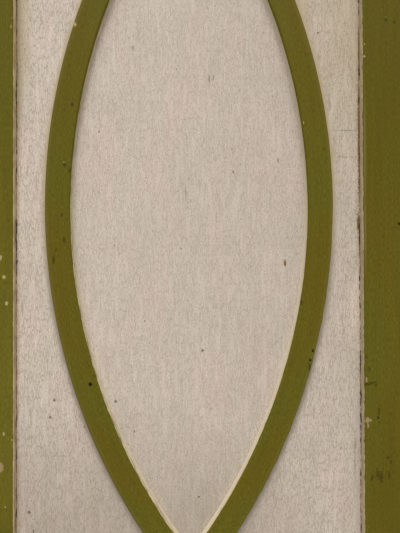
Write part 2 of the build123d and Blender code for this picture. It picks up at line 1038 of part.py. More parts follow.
rose_bore = knob_neck_radius + rose_play
with BuildPart() as roses:
    for face, outward in ((front, -1), (leaf_back, 1)):
        base = Plane(
            origin=(spindle_x, face, spindle_height), x_dir=(1, 0, 0), z_dir=(0, 0, outward)
        )
        with BuildSketch(base):
            with BuildLine():
                Polyline(
                    (rose_bore, 0),
                    (rose_radius, 0),
                    (rose_radius, rose_thickness - rose_edge),
                    (rose_radius - rose_edge, rose_thickness),
                    (rose_bore, rose_thickness),
                    close=True,
                )
            make_face()
        revolve(axis=Axis((spindle_x, face, spindle_height), (0, 1, 0)))
        countersink(rose_seats(face, outward), rose_thickness)
save(roses, "roses")

# Strike plate
with BuildPart() as strike_plate:
    block(
        (-meeting_edge, leaf_middle - strike_width / 2, bolt_middle - strike_height / 2),
        (
            -meeting_edge - strike_thickness,
            leaf_middle + strike_width / 2,
            bolt_middle + strike_height / 2,
        ),
    )
    block(
        (
            -meeting_edge,
            leaf_middle - bolt_thickness / 2 - strike_play,
            bolt_middle - bolt_height / 2 - strike_play,
        ),
        (
            -meeting_edge - strike_thickness,
            leaf_middle + bolt_thickness / 2 + strike_play,
            bolt_middle + bolt_height / 2 + strike_play,
        ),
        mode=Mode.SUBTRACT,
    )
    countersink(strike_seats, strike_thickness)
save(strike_plate, "strike_plate")

# Flush bolts
flush_bolts = {"top": (leaf_top, -1), "bottom": (leaf_bottom, 1)}
for name, (end, inward) in flush_bolts.items():
    far_end = end + inward * flush_plate_length
    plate_back = -meeting_edge - flush_plate_thickness
    guide_back = flush_rod_x - flush_rod_radius - flush_guide_back
    thumb_middle = (end + far_end) / 2
    thumb_half = thumb_length / 2 + thumb_play
    with BuildPart() as flush_plate:
        block(
            (-meeting_edge, leaf_middle - flush_plate_width / 2, end),
            (plate_back, leaf_middle + flush_plate_width / 2, far_end),
        )
        for guide in (end, far_end - inward * flush_guide_length):
            block(
                (plate_back, leaf_middle - flush_guide_width / 2, guide),
                (
                    guide_back,
                    leaf_middle + flush_guide_width / 2,
                    guide + inward * flush_guide_length,
                ),
            )
        with Locations((flush_rod_x, leaf_middle, thumb_middle)):
            Cylinder(
                flush_rod_radius + flush_rod_play,
                flush_plate_length,
                mode=Mode.SUBTRACT,
            )
        block(
            (
                -meeting_edge,
                leaf_middle - thumb_width / 2 - thumb_play,
                thumb_middle + inward * thumb_half,
            ),
            (
                plate_back,
                leaf_middle + thumb_width / 2 + thumb_play,
                thumb_middle - inward * (thumb_half + flush_throw),
            ),
            mode=Mode.SUBTRACT,
        )
        countersink(
            seats(flush_screw_points(end, inward), (1, 0, 0)), flush_plate_thickness
        )
    save(flush_plate, f"flush_bolt_{name}_plate")

    with BuildPart() as flush_rod:
        with BuildSketch(Plane.XY.offset(end + inward * flush_rod_inset)):
            with Locations((flush_rod_x, leaf_middle)):
                Circle(flush_rod_radius)
        extrude(amount=inward * (flush_plate_length - flush_rod_inset))
        block(
            (
                -meeting_edge - thumb_sunk,
                leaf_middle - thumb_width / 2,
                thumb_middle - thumb_length / 2,
            ),
            (flush_rod_x, leaf_middle + thumb_width / 2, thumb_middle + thumb_length / 2),
        )
    save(flush_rod, f"flush_bolt_{name}_rod")

# Keeps of the flush bolts, in the head and the threshold
with BuildPart() as bolt_keeps:
    for level, outward, keep_seats in (
        (head_line, -1, head_keep_seats),
        (threshold_height, 1, threshold_keep_seats),
    ):
        block(
            (flush_rod_x - keep_length / 2, leaf_middle - keep_width / 2, level),
            (
                flush_rod_x + keep_length / 2,
                leaf_middle + keep_width / 2,
                level - outward * keep_thickness,
            ),
        )
        with Locations((flush_rod_x, leaf_middle, level)):
            Cylinder(flush_rod_radius + keep_play, 2 * keep_thickness, mode=Mode.SUBTRACT)
        countersink(keep_seats, keep_thickness)
save(bolt_keeps, "bolt_keeps")

# Screws, in one node for each body
with BuildPart() as screws:
    for side in sides.values():
        drive(frame_hinge_seats[side], screw_length)
    drive(head_keep_seats + threshold_keep_seats, short_screw_length)
save(screws, "screws_frame")

with BuildPart() as screws:
    drive(leaf_hinge_seats[-1] + flush_seats, screw_length)
    drive(strike_seats, short_screw_length)
save(screws, "screws_left")

with BuildPart() as screws:
    drive(leaf_hinge_seats[1], screw_length)
    drive(forend_seats + rose_seats(front, -1) + rose_seats(leaf_back, 1), short_screw_length)
save(screws, "screws_right")
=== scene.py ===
import json
from math import cos, pi, radians, sin, tan

import bmesh
import bpy
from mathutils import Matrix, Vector


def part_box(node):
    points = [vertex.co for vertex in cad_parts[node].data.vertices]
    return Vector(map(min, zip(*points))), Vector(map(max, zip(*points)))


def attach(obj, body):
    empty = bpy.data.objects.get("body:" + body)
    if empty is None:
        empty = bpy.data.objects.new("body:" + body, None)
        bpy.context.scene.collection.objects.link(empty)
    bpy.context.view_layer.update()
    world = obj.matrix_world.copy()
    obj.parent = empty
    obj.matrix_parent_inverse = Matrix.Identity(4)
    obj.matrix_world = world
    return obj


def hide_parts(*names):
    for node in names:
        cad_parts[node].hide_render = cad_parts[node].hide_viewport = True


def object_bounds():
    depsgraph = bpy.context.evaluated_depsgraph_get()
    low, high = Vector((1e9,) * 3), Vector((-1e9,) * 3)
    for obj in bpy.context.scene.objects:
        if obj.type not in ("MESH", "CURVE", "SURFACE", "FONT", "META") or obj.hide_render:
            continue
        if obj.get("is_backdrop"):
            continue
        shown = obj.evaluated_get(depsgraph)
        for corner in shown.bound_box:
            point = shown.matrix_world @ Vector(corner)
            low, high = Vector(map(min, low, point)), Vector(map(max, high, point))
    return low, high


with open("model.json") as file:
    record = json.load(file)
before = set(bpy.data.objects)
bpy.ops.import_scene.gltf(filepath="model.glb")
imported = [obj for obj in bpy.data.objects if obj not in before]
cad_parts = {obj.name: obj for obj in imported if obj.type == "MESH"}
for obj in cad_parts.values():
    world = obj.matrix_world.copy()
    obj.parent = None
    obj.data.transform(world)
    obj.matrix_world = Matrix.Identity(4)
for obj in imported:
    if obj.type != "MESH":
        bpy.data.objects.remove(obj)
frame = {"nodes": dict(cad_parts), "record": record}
cad_low, cad_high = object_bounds()
nodes = frame["nodes"]

# The view
# The right leaf's upper panel, square on from half a metre, as the photograph shows it.
# A place in the photograph is given in its pixels, from the upper left corner.
picture_width = 400
picture_height = 533
half_view = radians(33.5)
view_distance = 0.484
view_right_of_oval = 0.0048
view_below_oval = 0.0769
view_up = radians(0.41)
view_turn = radians(-0.88)
view_roll = radians(0.14)
sensor = 36.0

oval_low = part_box("lens_band_right_left_arc")[0]
oval_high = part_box("lens_band_right_right_arc")[1]
oval_middle = (oval_low + oval_high) / 2
leaf_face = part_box("hinge_stile_right")[0].y
panel_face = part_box("upper_panel_right")[0].y


def set_up(name, data):
    """An object of its own for a camera, lamp or mesh."""
    made = bpy.data.objects.new(name, data)
    bpy.context.scene.collection.objects.link(made)
    return made


view = bpy.data.cameras.new("view")
view.sensor_width = sensor
view.lens = sensor / 2 / tan(half_view)
view_object = set_up("view", view)
view_object.location = (
    oval_middle.x + view_right_of_oval,
    leaf_face - view_distance,
    oval_middle.z - view_below_oval,
)
view_object.rotation_euler = (pi / 2 + view_up, view_roll, view_turn)
bpy.context.scene.camera = view_object
bpy.context.view_layer.update()


def seen_at(across, down, face):
    """The point that a pixel of the photograph shows, on a face that looks forward."""
    reach = picture_height / 2 / tan(half_view)
    ray = Vector((across - picture_width / 2, picture_height / 2 - down, -reach))
    ray.rotate(view_object.matrix_world.to_quaternion())
    start = view_object.location
    return start + ray * (face - start.y) / ray.y


# The light
# A broad soft light from above and in front, weaker ones from the side and behind, and a
# pale room all round. Together they show a colour about as it is written.
bpy.context.scene.view_settings.view_transform = "Standard"
room_colour = (0.95, 0.96, 1.0)
room_strength = 0.60
backdrop_colour = (0.86, 0.86, 0.85)

# Each lamp: where it shines to, its colour, its strength, and its spread in degrees
lamps = {
    "front_lamp": ((0.03, 0.45, -1.0), (1.0, 0.97, 0.92), 2.45, 34),
    "side_lamp": ((0.9, 0.8, -0.35), (1.0, 0.98, 0.95), 0.25, 50),
    "back_lamp": ((-0.3, -0.8, -0.9), (1.0, 0.98, 0.95), 2.2, 40),
}
for name, (aim, colour, strength, spread) in lamps.items():
    sun = bpy.data.lights.new(name, "SUN")
    sun.energy = strength
    sun.color = colour
    sun.angle = radians(spread)
    sun_object = set_up(name, sun)
    sun_object.rotation_mode = "QUATERNION"
    sun_object.rotation_quaternion = Vector(aim).to_track_quat("-Z", "Y")


def join(value, socket):
    """Gives a socket a wire or a plain value; a colour is written as its three parts."""
    if isinstance(value, Wire):
        value.tree.links.new(value.socket, socket)
    elif socket.type == "RGBA":
        socket.default_value = (*value, 1)
    else:
        socket.default_value = value


class Step:
    """One node of a tree. Its outputs are taken as wires, by name or number."""

    def __init__(self, tree, kind, sockets=None, **settings):
        made = tree.nodes.new(kind)
        for name, value in settings.items():
            setattr(made, name, value)
        self.tree = tree
        self.inputs = made.inputs
        self.outputs = made.outputs
        for name, value in (sockets or {}).items():
            for part in value if isinstance(value, list) else [value]:
                join(part, made.inputs[name])

    def __getitem__(self, name):
        return Wire(self.tree, self.outputs[name])


class Wire:
    """What comes out of a node. Plain arithmetic on it adds the nodes that work it out."""

    def __init__(self, tree, socket):
        self.tree = tree
        self.socket = socket

    def __add__(self, other):
        return work_out("ADD", self, other)

    def __sub__(self, other):
        return work_out("SUBTRACT", self, other)

    def __rsub__(self, other):
        return work_out("SUBTRACT", other, self)

    def __mul__(self, other):
        return work_out("MULTIPLY", self, other)

    def __truediv__(self, other):
        return work_out("DIVIDE", self, other)

    def __rtruediv__(self, other):
        return work_out("DIVIDE", other, self)

    def __pow__(self, other):
        return work_out("POWER", self, other)

    def __abs__(self):
        return work_out("ABSOLUTE", self)

    def __lt__(self, other):
        return work_out("LESS_THAN", self, other)

    def __gt__(self, other):
        return work_out("GREATER_THAN", self, other)


def find_tree(*values):
    return next(value.tree for value in values if isinstance(value, Wire))


def work_out(operation, *values):
    """One step of arithmetic, on wires and plain numbers."""
    sockets = dict(enumerate(values))
    return Step(find_tree(*values), "ShaderNodeMath", sockets, operation=operation)[0]


def largest(first, *others):
    for other in others:
        first = work_out("MAXIMUM", first, other)
    return first


# The room lights the door, and a pale backdrop stands where the view looks past it
world = bpy.data.worlds.new("room")
world.use_nodes = True
bpy.context.scene.world = world
tree = world.node_tree
tree.nodes.clear()
room = Step(tree, "ShaderNodeBackground", {"Color": room_colour, "Strength": room_strength})
backdrop = Step(tree, "ShaderNodeBackground", {"Color": backdrop_colour, "Strength": 1.0})
paths = Step(tree, "ShaderNodeLightPath")
looked_at = largest(paths["Is Camera Ray"], paths["Is Glossy Ray"], paths["Is Transmission Ray"])
shown = Step(tree, "ShaderNodeMixShader", {0: looked_at, 1: room[0], 2: backdrop[0]})
Step(tree, "ShaderNodeOutputWorld", {"Surface": shown[0]})

# The floor
# A plain pale floor, level with the foot of the frame. It isn't part of the door, and only
# gives it something to stand on.
floor_half = 9.0
floor_colour = (0.44, 0.44, 0.435)


def start_material(name, roughness, specular=0.5, metallic=0.0):
    """A material with one shader, which carries its plain numbers, and the object's places."""
    material = bpy.data.materials.new(name)
    material.use_nodes = True
    tree = material.node_tree
    tree.nodes.clear()
    plain = {"Roughness": roughness, "Specular IOR Level": specular, "Metallic": metallic}
    shader = Step(tree, "ShaderNodeBsdfPrincipled", plain)
    Step(tree, "ShaderNodeOutputMaterial", {"Surface": shader[0]})
    return material, shader, Step(tree, "ShaderNodeTexCoord")["Object"]


def add_mesh(name, points, edges=(), faces=()):
    mesh = bpy.data.meshes.new(name)
    mesh.from_pydata(points, edges, faces)
    return set_up(name, mesh)


def finish_with(piece, material):
    """Gives a piece one material in place of what it had."""
    piece.data.materials.clear()
    piece.data.materials.append(material)


corners = ((-1, -1), (1, -1), (1, 1), (-1, 1))
floor_points = [(x * floor_half, y * floor_half, 0) for x, y in corners]
floor = add_mesh("floor", floor_points, faces=[(0, 1, 2, 3)])
floor_material, shader, vector = start_material("pale floor", 0.9, 0.2)
join(floor_colour, shader.inputs["Base Color"])
finish_with(floor, floor_material)
floor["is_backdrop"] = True

# The frame
# Rebated jambs with the head trenched over them, and mitred architraves planted round, all
# planed softwood brushed with olive-green oil paint. The paint has worn thin on the arrises
# and chipped to the cream coat under it.


def step_up(value, low, high):
    """Nought below low, one above high, and smooth between; low may be the larger."""
    sockets = {"Value": value, "From Min": low, "From Max": high}
    tree = find_tree(value, low, high)
    return Step(tree, "ShaderNodeMapRange", sockets, interpolation_type="SMOOTHSTEP")["Result"]


def mix_colours(share, first, second):
    sockets = {0: share, 6: first, 7: second}
    return Step(find_tree(share, first, second), "ShaderNodeMix", sockets, data_type="RGBA")[2]


def lay_coats(colour, *coats):
    """Colours laid on one another in turn, each as far as its share says."""
    for share, tint in coats:
        colour = mix_colours(share, colour, tint)
    return colour


def with_vector(operation, vector, other):
    sockets = {0: vector, "Scale" if operation == "SCALE" else 1: other}
    return Step(vector.tree, "ShaderNodeVectorMath", sockets, operation=operation)


def resize(vector, factor):
    """The vector, or the colour, made so many times as large."""
    return with_vector("SCALE", vector, factor)[0]


def stretch(vector, size):
    """The vector counted in cells of that size, in metres."""
    return with_vector("MULTIPLY", vector, tuple(1 / length for length in size))[0]


def take_apart(vector):
    return Step(vector.tree, "ShaderNodeSeparateXYZ", {"Vector": vector})


def put_together(tree, x=0.0, y=0.0, z=0.0):
    return Step(tree, "ShaderNodeCombineXYZ", {"X": x, "Y": y, "Z": z})[0]


def noise(vector, detail=2.0, scale=1.0, roughness=0.5):
    sockets = {"Vector": vector, "Scale": scale, "Detail": detail, "Roughness": roughness}
    return Step(vector.tree, "ShaderNodeTexNoise", sockets)[0]


def mottle(vector, size, detail=2.0):
    """Soft noise with cells of that size."""
    return noise(stretch(vector, size), detail)


def scatter(vector, feature="F1"):
    """Cells of chance shape, each with a tone of its own."""
    sockets = {"Vector": vector, "Scale": 1.0}
    return Step(vector.tree, "ShaderNodeTexVoronoi", sockets, feature=feature)


def tell_apart(cells):
    """The parts of each cell's tone, as chance numbers."""
    return Step(cells.tree, "ShaderNodeSeparateColor", {"Color": cells["Color"]})


def start_group(kind, name, inputs, outputs, gives):
    """A node group with named sockets. An input is given by its value, or by its kind."""
    tree = bpy.data.node_groups.new(name, kind)
    for label, value in inputs.items():
        takes = value if isinstance(value, str) else type(value).__name__.capitalize()
        socket = tree.interface.new_socket(label, in_out="INPUT", socket_type="NodeSocket" + takes)
        if takes != value:
            socket.default_value = value
    for label in outputs:
        tree.interface.new_socket(label, in_out="OUTPUT", socket_type="NodeSocket" + gives)
    return Step(tree, "NodeGroupInput"), Step(tree, "NodeGroupOutput").inputs


def start_effect(name, inputs, outputs):
    """A shader node group for an effect that several finishes use, or one uses often."""
    return start_group("ShaderNodeTree", name, {"Vector": "Vector", **inputs}, outputs, "Float")


def effect(name, **sockets):
    """Places an effect in a finish."""
    named = {label.replace("_", " "): value for label, value in sockets.items()}
    group = bpy.data.node_groups[name]
    return Step(sockets["Vector"].tree, "ShaderNodeGroup", named, node_tree=group)


def in_long_cells(entry):
    """An effect's place, counted in cells of its width that lie along the second axis."""
    width = 1.0 / entry["Width"]
    cells = put_together(entry.tree, width, 1.0 / entry["Length"], width)
    return with_vector("MULTIPLY", entry["Vector"], cells)[0]


def distance(sideways, upwards):
    return work_out("SQRT", sideways * sideways + upwards * upwards)


# Marks of the brush: long fine ridges and broader bands, along the second axis
entry, way_out = start_effect("brush marks", {"Width": 0.0012, "Length": 0.06}, ("Fine", "Broad"))
place = in_long_cells(entry)
join(noise(place, 3.0), way_out["Fine"])
join(noise(place, 1.0, scale=0.21), way_out["Broad"])

# Crackle: long narrow flakes of paint, each a little apart in tone, with broken hairlines
flake_sizes = {"Width": 0.0016, "Length": 0.006, "Line": 0.07, "Cover": 0.5}
entry, way_out = start_effect("crackle", flake_sizes, ("Lines", "Flake"))
place = in_long_cells(entry)
line = step_up(scatter(place, "DISTANCE_TO_EDGE")["Distance"], entry["Line"], 0.0)
uncovered = 1.0 - entry["Cover"]
patchy = step_up(noise(place, 2.0, scale=0.45), uncovered, uncovered + 0.12)
join(line * patchy, way_out["Lines"])
join(tell_apart(scatter(place))[0], way_out["Flake"])

# Pits: small scattered spots, a share of the cells having one
pit_sizes = {"Spacing": 0.01, "Size": 0.12, "Share": 0.3}
entry, way_out = start_effect("pits", pit_sizes, ("Spots",))
spots = scatter(resize(entry["Vector"], 1.0 / entry["Spacing"]))
lot = tell_apart(spots)
own_size = entry["Size"] * (lot[1] + 0.35)
spot = step_up(spots["Distance"], own_size, own_size * 0.55)
join(spot * (lot[0] < entry["Share"]), way_out["Spots"])

# Arris: the rounded edges of a square timber, and the patches where they are rubbed. On a
# flat side the normal lies along one axis, and on an arris between two
flat_side = 0.995
round_side = 0.93
entry, way_out = start_effect("arris", {"Patch": 0.03, "Wear": 0.4}, ("Edge", "Rubbed"))
sides = take_apart(Step(entry.tree, "ShaderNodeTexCoord")["Normal"])
flatness = largest(abs(sides[0]), abs(sides[1]), abs(sides[2]))
edge = step_up(flatness, flat_side, round_side)
rubs = noise(resize(entry["Vector"], 1.0 / entry["Patch"]), 5.0, roughness=0.62)
unworn = 1.0 - entry["Wear"]
join(edge, way_out["Edge"])
join(edge * step_up(rubs, unworn, unworn + 0.04), way_out["Rubbed"])

# Handling: dust that rises from the floor, and where hands have rubbed round the knobs
knob_low, knob_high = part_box("knob_front")
knob_middle = (knob_low + knob_high) / 2
entry, way_out = start_effect("handling", {"Rise": 0.24, "Reach": 0.11}, ("Dust", "Touch"))
parts = take_apart(entry["Vector"])
cloudy = step_up(mottle(entry["Vector"], (0.03, 0.03, 0.012), 4.0), 0.3, 0.7)
from_knob = distance(parts[0] - knob_middle.x, parts[2] - knob_middle.z)
join(step_up(parts[2], entry["Rise"], 0.0) * cloudy, way_out["Dust"])
join(step_up(from_knob, entry["Reach"], 0.02) * cloudy, way_out["Touch"])

# Split: the crack where the paint breaks along a joint, at a distance from it. Its line
# wanders, its rims are ragged, and it swells and closes
split_wander = 0.003
split_ragged = 0.0030
split_swell = 0.0026
worn_from = 0.0024
open_from = 0.0025
entry, way_out = start_effect("split", {"Away": 0.0, "Shift": 0.0}, ("Open", "Worn"))
ragged = mottle(entry["Vector"], (0.0016, 0.0016, 0.0045), 3.0)
wander = mottle(entry["Vector"], (0.02, 0.02, 0.035), 3.0)
swell = mottle(entry["Vector"], (0.03, 0.03, 0.018), 2.0)
gape = mottle(entry["Vector"], (0.02, 0.02, 0.022), 3.0)
away = abs(entry["Away"] - (entry["Shift"] + (wander * split_wander - split_wander / 2)))
half_width = ragged * split_ragged + swell * split_swell
join(step_up(away - (half_width - worn_from), 0.0005, -0.0003), way_out["Worn"])
opened = step_up(away - (half_width - open_from), 0.0003, 0.0)
join(opened * step_up(gape, 0.42, 0.58), way_out["Open"])

# Mark: one spot at a known place, with a hard or soft rim that the jag makes uneven
mark_sizes = {"Centre": "Vector", "Half Size": "Vector", "Jag": 0.0, "Soft": 0.15}
entry, way_out = start_effect("mark", mark_sizes, ("Spot",))
away = with_vector("SUBTRACT", entry["Vector"], entry["Centre"])[0]
reach = with_vector("DIVIDE", away, entry["Half Size"])[0]
reach = Step(entry.tree, "ShaderNodeVectorMath", {0: reach}, operation="LENGTH")["Value"]
uneven = reach + entry["Jag"]
join(step_up(uneven, entry["Soft"] + 1.0, 1.0 - entry["Soft"]), way_out["Spot"])

# Sight: how far a point lies outside the panel openings of either leaf
right_stile_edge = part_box("hinge_stile_right")[0].x
left_stile_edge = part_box("meeting_stile_right")[1].x
leaf_middle = (right_stile_edge + left_stile_edge) / 2
sight_half = (right_stile_edge - left_stile_edge) / 2
sights = [
    (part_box("bottom_rail_right")[1].z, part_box("lock_rail_right")[0].z),
    (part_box("lock_rail_right")[1].z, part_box("top_rail_right")[0].z),
]
entry, way_out = start_effect("sight", {}, ("Outside",))
parts = take_apart(entry["Vector"])
sideways = abs(abs(parts[0]) - leaf_middle) - sight_half
nearest = None
for low, high in sights:
    upright = abs(parts[2] - (low + high) / 2) - (high - low) / 2
    outside = largest(sideways, upright)
    nearest = outside if nearest is None else work_out("MINIMUM", nearest, outside)
join(nearest, way_out["Outside"])

olive = (0.112, 0.0905, 0.0070)
olive_green = (0.110, 0.100, 0.0085)
olive_brown = (0.118, 0.088, 0.0058)
olive_rubbed = (0.165, 0.132, 0.036)
undercoat = (0.385, 0.32, 0.132)
floor_dust = (0.135, 0.108, 0.060)
olive_roughness = 0.6
olive_specular = 0.07
olive_depth = 0.00012
orders = {"upright": (0, 2, 1), "level": (2, 0, 1)}


def turn(vector, order):
    """The vector with its parts in another order: across, along, into the timber."""
    parts = take_apart(vector)
    return put_together(vector.tree, *(parts[part] for part in orders[order]))


def brush_olive(place, *tints):
    """Olive paint without its wear: colour, and height of the brush marks."""
    marks = effect("brush marks", Vector=place, Width=0.0014, Length=0.05)
    patches = mottle(place, (0.05, 0.16, 0.05))
    speckle = mottle(place, (0.0010, 0.0050, 0.0010), 0.0)
    colour = mix_colours(step_up(patches, 0.36, 0.64), olive_green, olive_brown)
    colour = lay_coats(colour, (0.4, olive), *tints)
    shade = (marks["Fine"] * 0.38 + 0.81) * (speckle * 0.6 + 0.7) * (marks["Broad"] * 0.2 + 0.9)
    return resize(colour, shade), marks["Fine"]


def lay_on(shader, colour, height=None, depth=0.0):
    """Gives a shader its colour, and the height of the surface as a bump."""
    join(colour, shader.inputs["Base Color"])
    if height is not None:
        sockets = {"Height": height, "Distance": depth, "Strength": 1.0}
        join(Step(height.tree, "ShaderNodeBump", sockets)[0], shader.inputs["Normal"])


def finish_all(word, material):
    """Gives every CAD piece with the word in its name that material."""
    for name, cad_node in nodes.items():
        if word in name:
            finish_with(cad_node, material)


def paint_timber(name, order):
    """Olive paint on a square timber, rubbed on its arrises and chipped here and there."""
    material, shader, vector = start_material(name, olive_roughness, olive_specular)
    colour, ridges = brush_olive(turn(vector, order))
    edges = effect("arris", Vector=vector, Patch=0.02, Wear=0.42)
    chips = effect("pits", Vector=vector, Spacing=0.045, Size=0.05, Share=0.25)
    colour = lay_coats(
        colour,
        (edges["Edge"] * 0.4, olive_rubbed),
        (edges["Rubbed"], undercoat),
        (chips["Spots"], undercoat),
        (effect("handling", Vector=vector)["Dust"] * 0.5, floor_dust),
    )
    gone = largest(edges["Rubbed"], chips["Spots"])
    lay_on(shader, colour, ridges - gone, olive_depth)
    return material


upright_olive = paint_timber("olive paint on uprights", "upright")
finish_all("jamb", upright_olive)
finish_all("architrave", upright_olive)
finish_all("head", paint_timber("olive paint on level timbers", "level"))

# The threshold
# A bevelled oak board fixed between the feet of the jambs. It is bare, and trodden pale in
# patches.
oak = (0.21, 0.135, 0.07)
oak_dark = (0.11, 0.062, 0.03)
oak_worn = (0.33, 0.25, 0.16)
grain_depth = 0.0002
threshold_oak, shader, vector = start_material("bare oak", 0.68, 0.3)
place = turn(vector, "level")
grain = mottle(place, (0.003, 0.14, 0.003), 5.0)
pores = mottle(place, (0.0006, 0.012, 0.0006))
trodden = mottle(place, (0.06, 0.25, 0.06), 3.0)
colour = lay_coats(
    mix_colours(step_up(grain, 0.35, 0.65), oak_dark, oak),
    (step_up(trodden, 0.45, 0.65), oak_worn),
    (step_up(pores, 0.36, 0.30), oak_dark),
)
lay_on(shader, colour, grain + pores, grain_depth)
finish_with(nodes["threshold"], threshold_oak)

# The stiles and rails
# Mortised and tenoned softwood, olive-green on the faces and dull cream on the edges that
# look into the panels. Chips show the cream undercoat; knocks have left dark marks.
# The lighter and darker olives below stand for painted light and painted shade
olive_painted_lighter = (0.142, 0.122, 0.0120)
olive_shaded = (0.102, 0.081, 0.0056)
olive_dark = (0.040, 0.030, 0.0030)
hole_black = (0.010, 0.0075, 0.0030)
hand_grease = (0.062, 0.048, 0.0080)
primer = (0.305, 0.218, 0.100)
edge_cream = (0.540, 0.432, 0.258)
edge_dull = (0.350, 0.265, 0.140)
# Painted light: a lighter, greyer cream for the walls by the hinges
edge_painted_lit = (0.500, 0.430, 0.300)
split_black = (0.055, 0.034, 0.020)
split_brown = (0.200, 0.112, 0.052)
cream_lap = 0.0002
cream_lap_by_hinges = -0.0006
cream_waver = 0.0014
line_soft = 0.0002
split_shift = -0.0009
split_shift_by_hinges = 0.0015
wall_foreshortening = 0.45
mark_depth = 0.004

# The marks that can be told apart: across, down, half width and half height, in pixels
# Painted light: the meeting stile lighter low down
painted_lighter_places = {"meeting stile, low": (5.0, 400.0, 12.0, 170.0)}
# Painted shade: the hinge stile darker high up and low down
shaded_places = {
    "hinge stile, high": (384.0, 70.0, 26.0, 130.0),
    "hinge stile, low": (392.0, 500.0, 16.0, 70.0),
}
# Painted highlights along the hinge stile's arris, and a small worn spot
stile_highlights_and_wear = {
    "long highlight by the hinge side": (364.9, 150.0, 0.9, 52.0),
    "second, under it": (365.4, 232.0, 0.9, 36.0),
    "small worn spot": (368.0, 438.0, 0.9, 0.8),
}
pale_chips = {
    "at the picture's edge": (0.6, 257.5, 1.3, 2.4),
    "below it": (3.9, 277.0, 1.5, 1.9),
    "third of the row": (6.6, 303.3, 1.5, 2.0),
    "above the long chip": (3.7, 433.8, 1.2, 1.6),
    "beside the arris": (11.8, 439.8, 0.7, 0.8),
    "lowest": (5.2, 507.2, 0.9, 0.9),
    "upper": (11.0, 26.5, 0.5, 1.7),
    "uppermost": (11.6, 18.0, 0.4, 0.6),
    "hinge side, on the arris": (364.3, 56.2, 0.9, 1.0),
    "hinge side, higher": (364.5, 44.0, 0.4, 0.8),
    "hinge side, top": (386.2, 16.5, 0.5, 0.35),
}
primer_chips = {
    "long chip": (0.6, 467.8, 2.7, 5.0),
    "main": (367.6, 420.0, 2.1, 3.0),
    "beside the main": (370.6, 420.3, 1.3, 1.5),
    "its tail": (368.1, 425.6, 1.0, 2.2),
    "above": (366.6, 380.0, 0.9, 2.6),
}
stile_knocks = {
    "long knock": (379.0, 410.2, 0.8, 4.0),
    "under it": (379.2, 422.5, 0.7, 1.0),
    "beside the chip": (367.6, 384.2, 2.4, 1.5),
    "across": (372.0, 383.0, 3.5, 1.2),
    "across, its end": (375.6, 384.0, 0.9, 2.2),
    "bruise": (378.0, 474.0, 1.6, 4.5),
    "bruise, middle": (381.2, 477.5, 1.8, 5.0),
    "bruise, right": (389.0, 475.0, 1.0, 3.5),
    "bruise, left": (372.0, 478.0, 1.0, 3.0),
    "bruise, upper": (388.5, 457.5, 1.3, 1.2),
    "bruise, its curve": (391.2, 461.5, 0.8, 2.2),
    "top": (385.5, 19.5, 1.4, 1.4),
    "top, its tail": (394.0, 22.0, 1.8, 1.0),
    "dot": (369.6, 369.0, 1.1, 2.1),
    "dot, upper": (366.0, 357.0, 1.2, 1.4),
    "dot, foot": (376.3, 245.0, 0.5, 0.8),
}
stile_holes = {
    "foot of the long knock": (378.2, 417.6, 1.0, 1.4),
    "far right": (399.2, 223.8, 1.1, 1.4),
}


def place_marks(vector, marks, face, jag=0.0, soft=0.2):
    """All the marks of a list, each at its place on a face."""
    found = 0.0
    for across, down, half_width, half_height in marks.values():
        middle = seen_at(across, down, face)
        corner = seen_at(across + half_width, down - half_height, face)
        half = (corner.x - middle.x, mark_depth, corner.z - middle.z)
        sizes = {"Centre": tuple(middle), "Half_Size": half, "Jag": jag, "Soft": soft}
        found = largest(found, effect("mark", Vector=vector, **sizes)["Spot"])
    return found


def make_jag(vector, size, strength):
    """Uneven rims for marks: nought on the whole, more or less from place to place."""
    return (mottle(vector, (size, size, size)) - 0.5) * strength


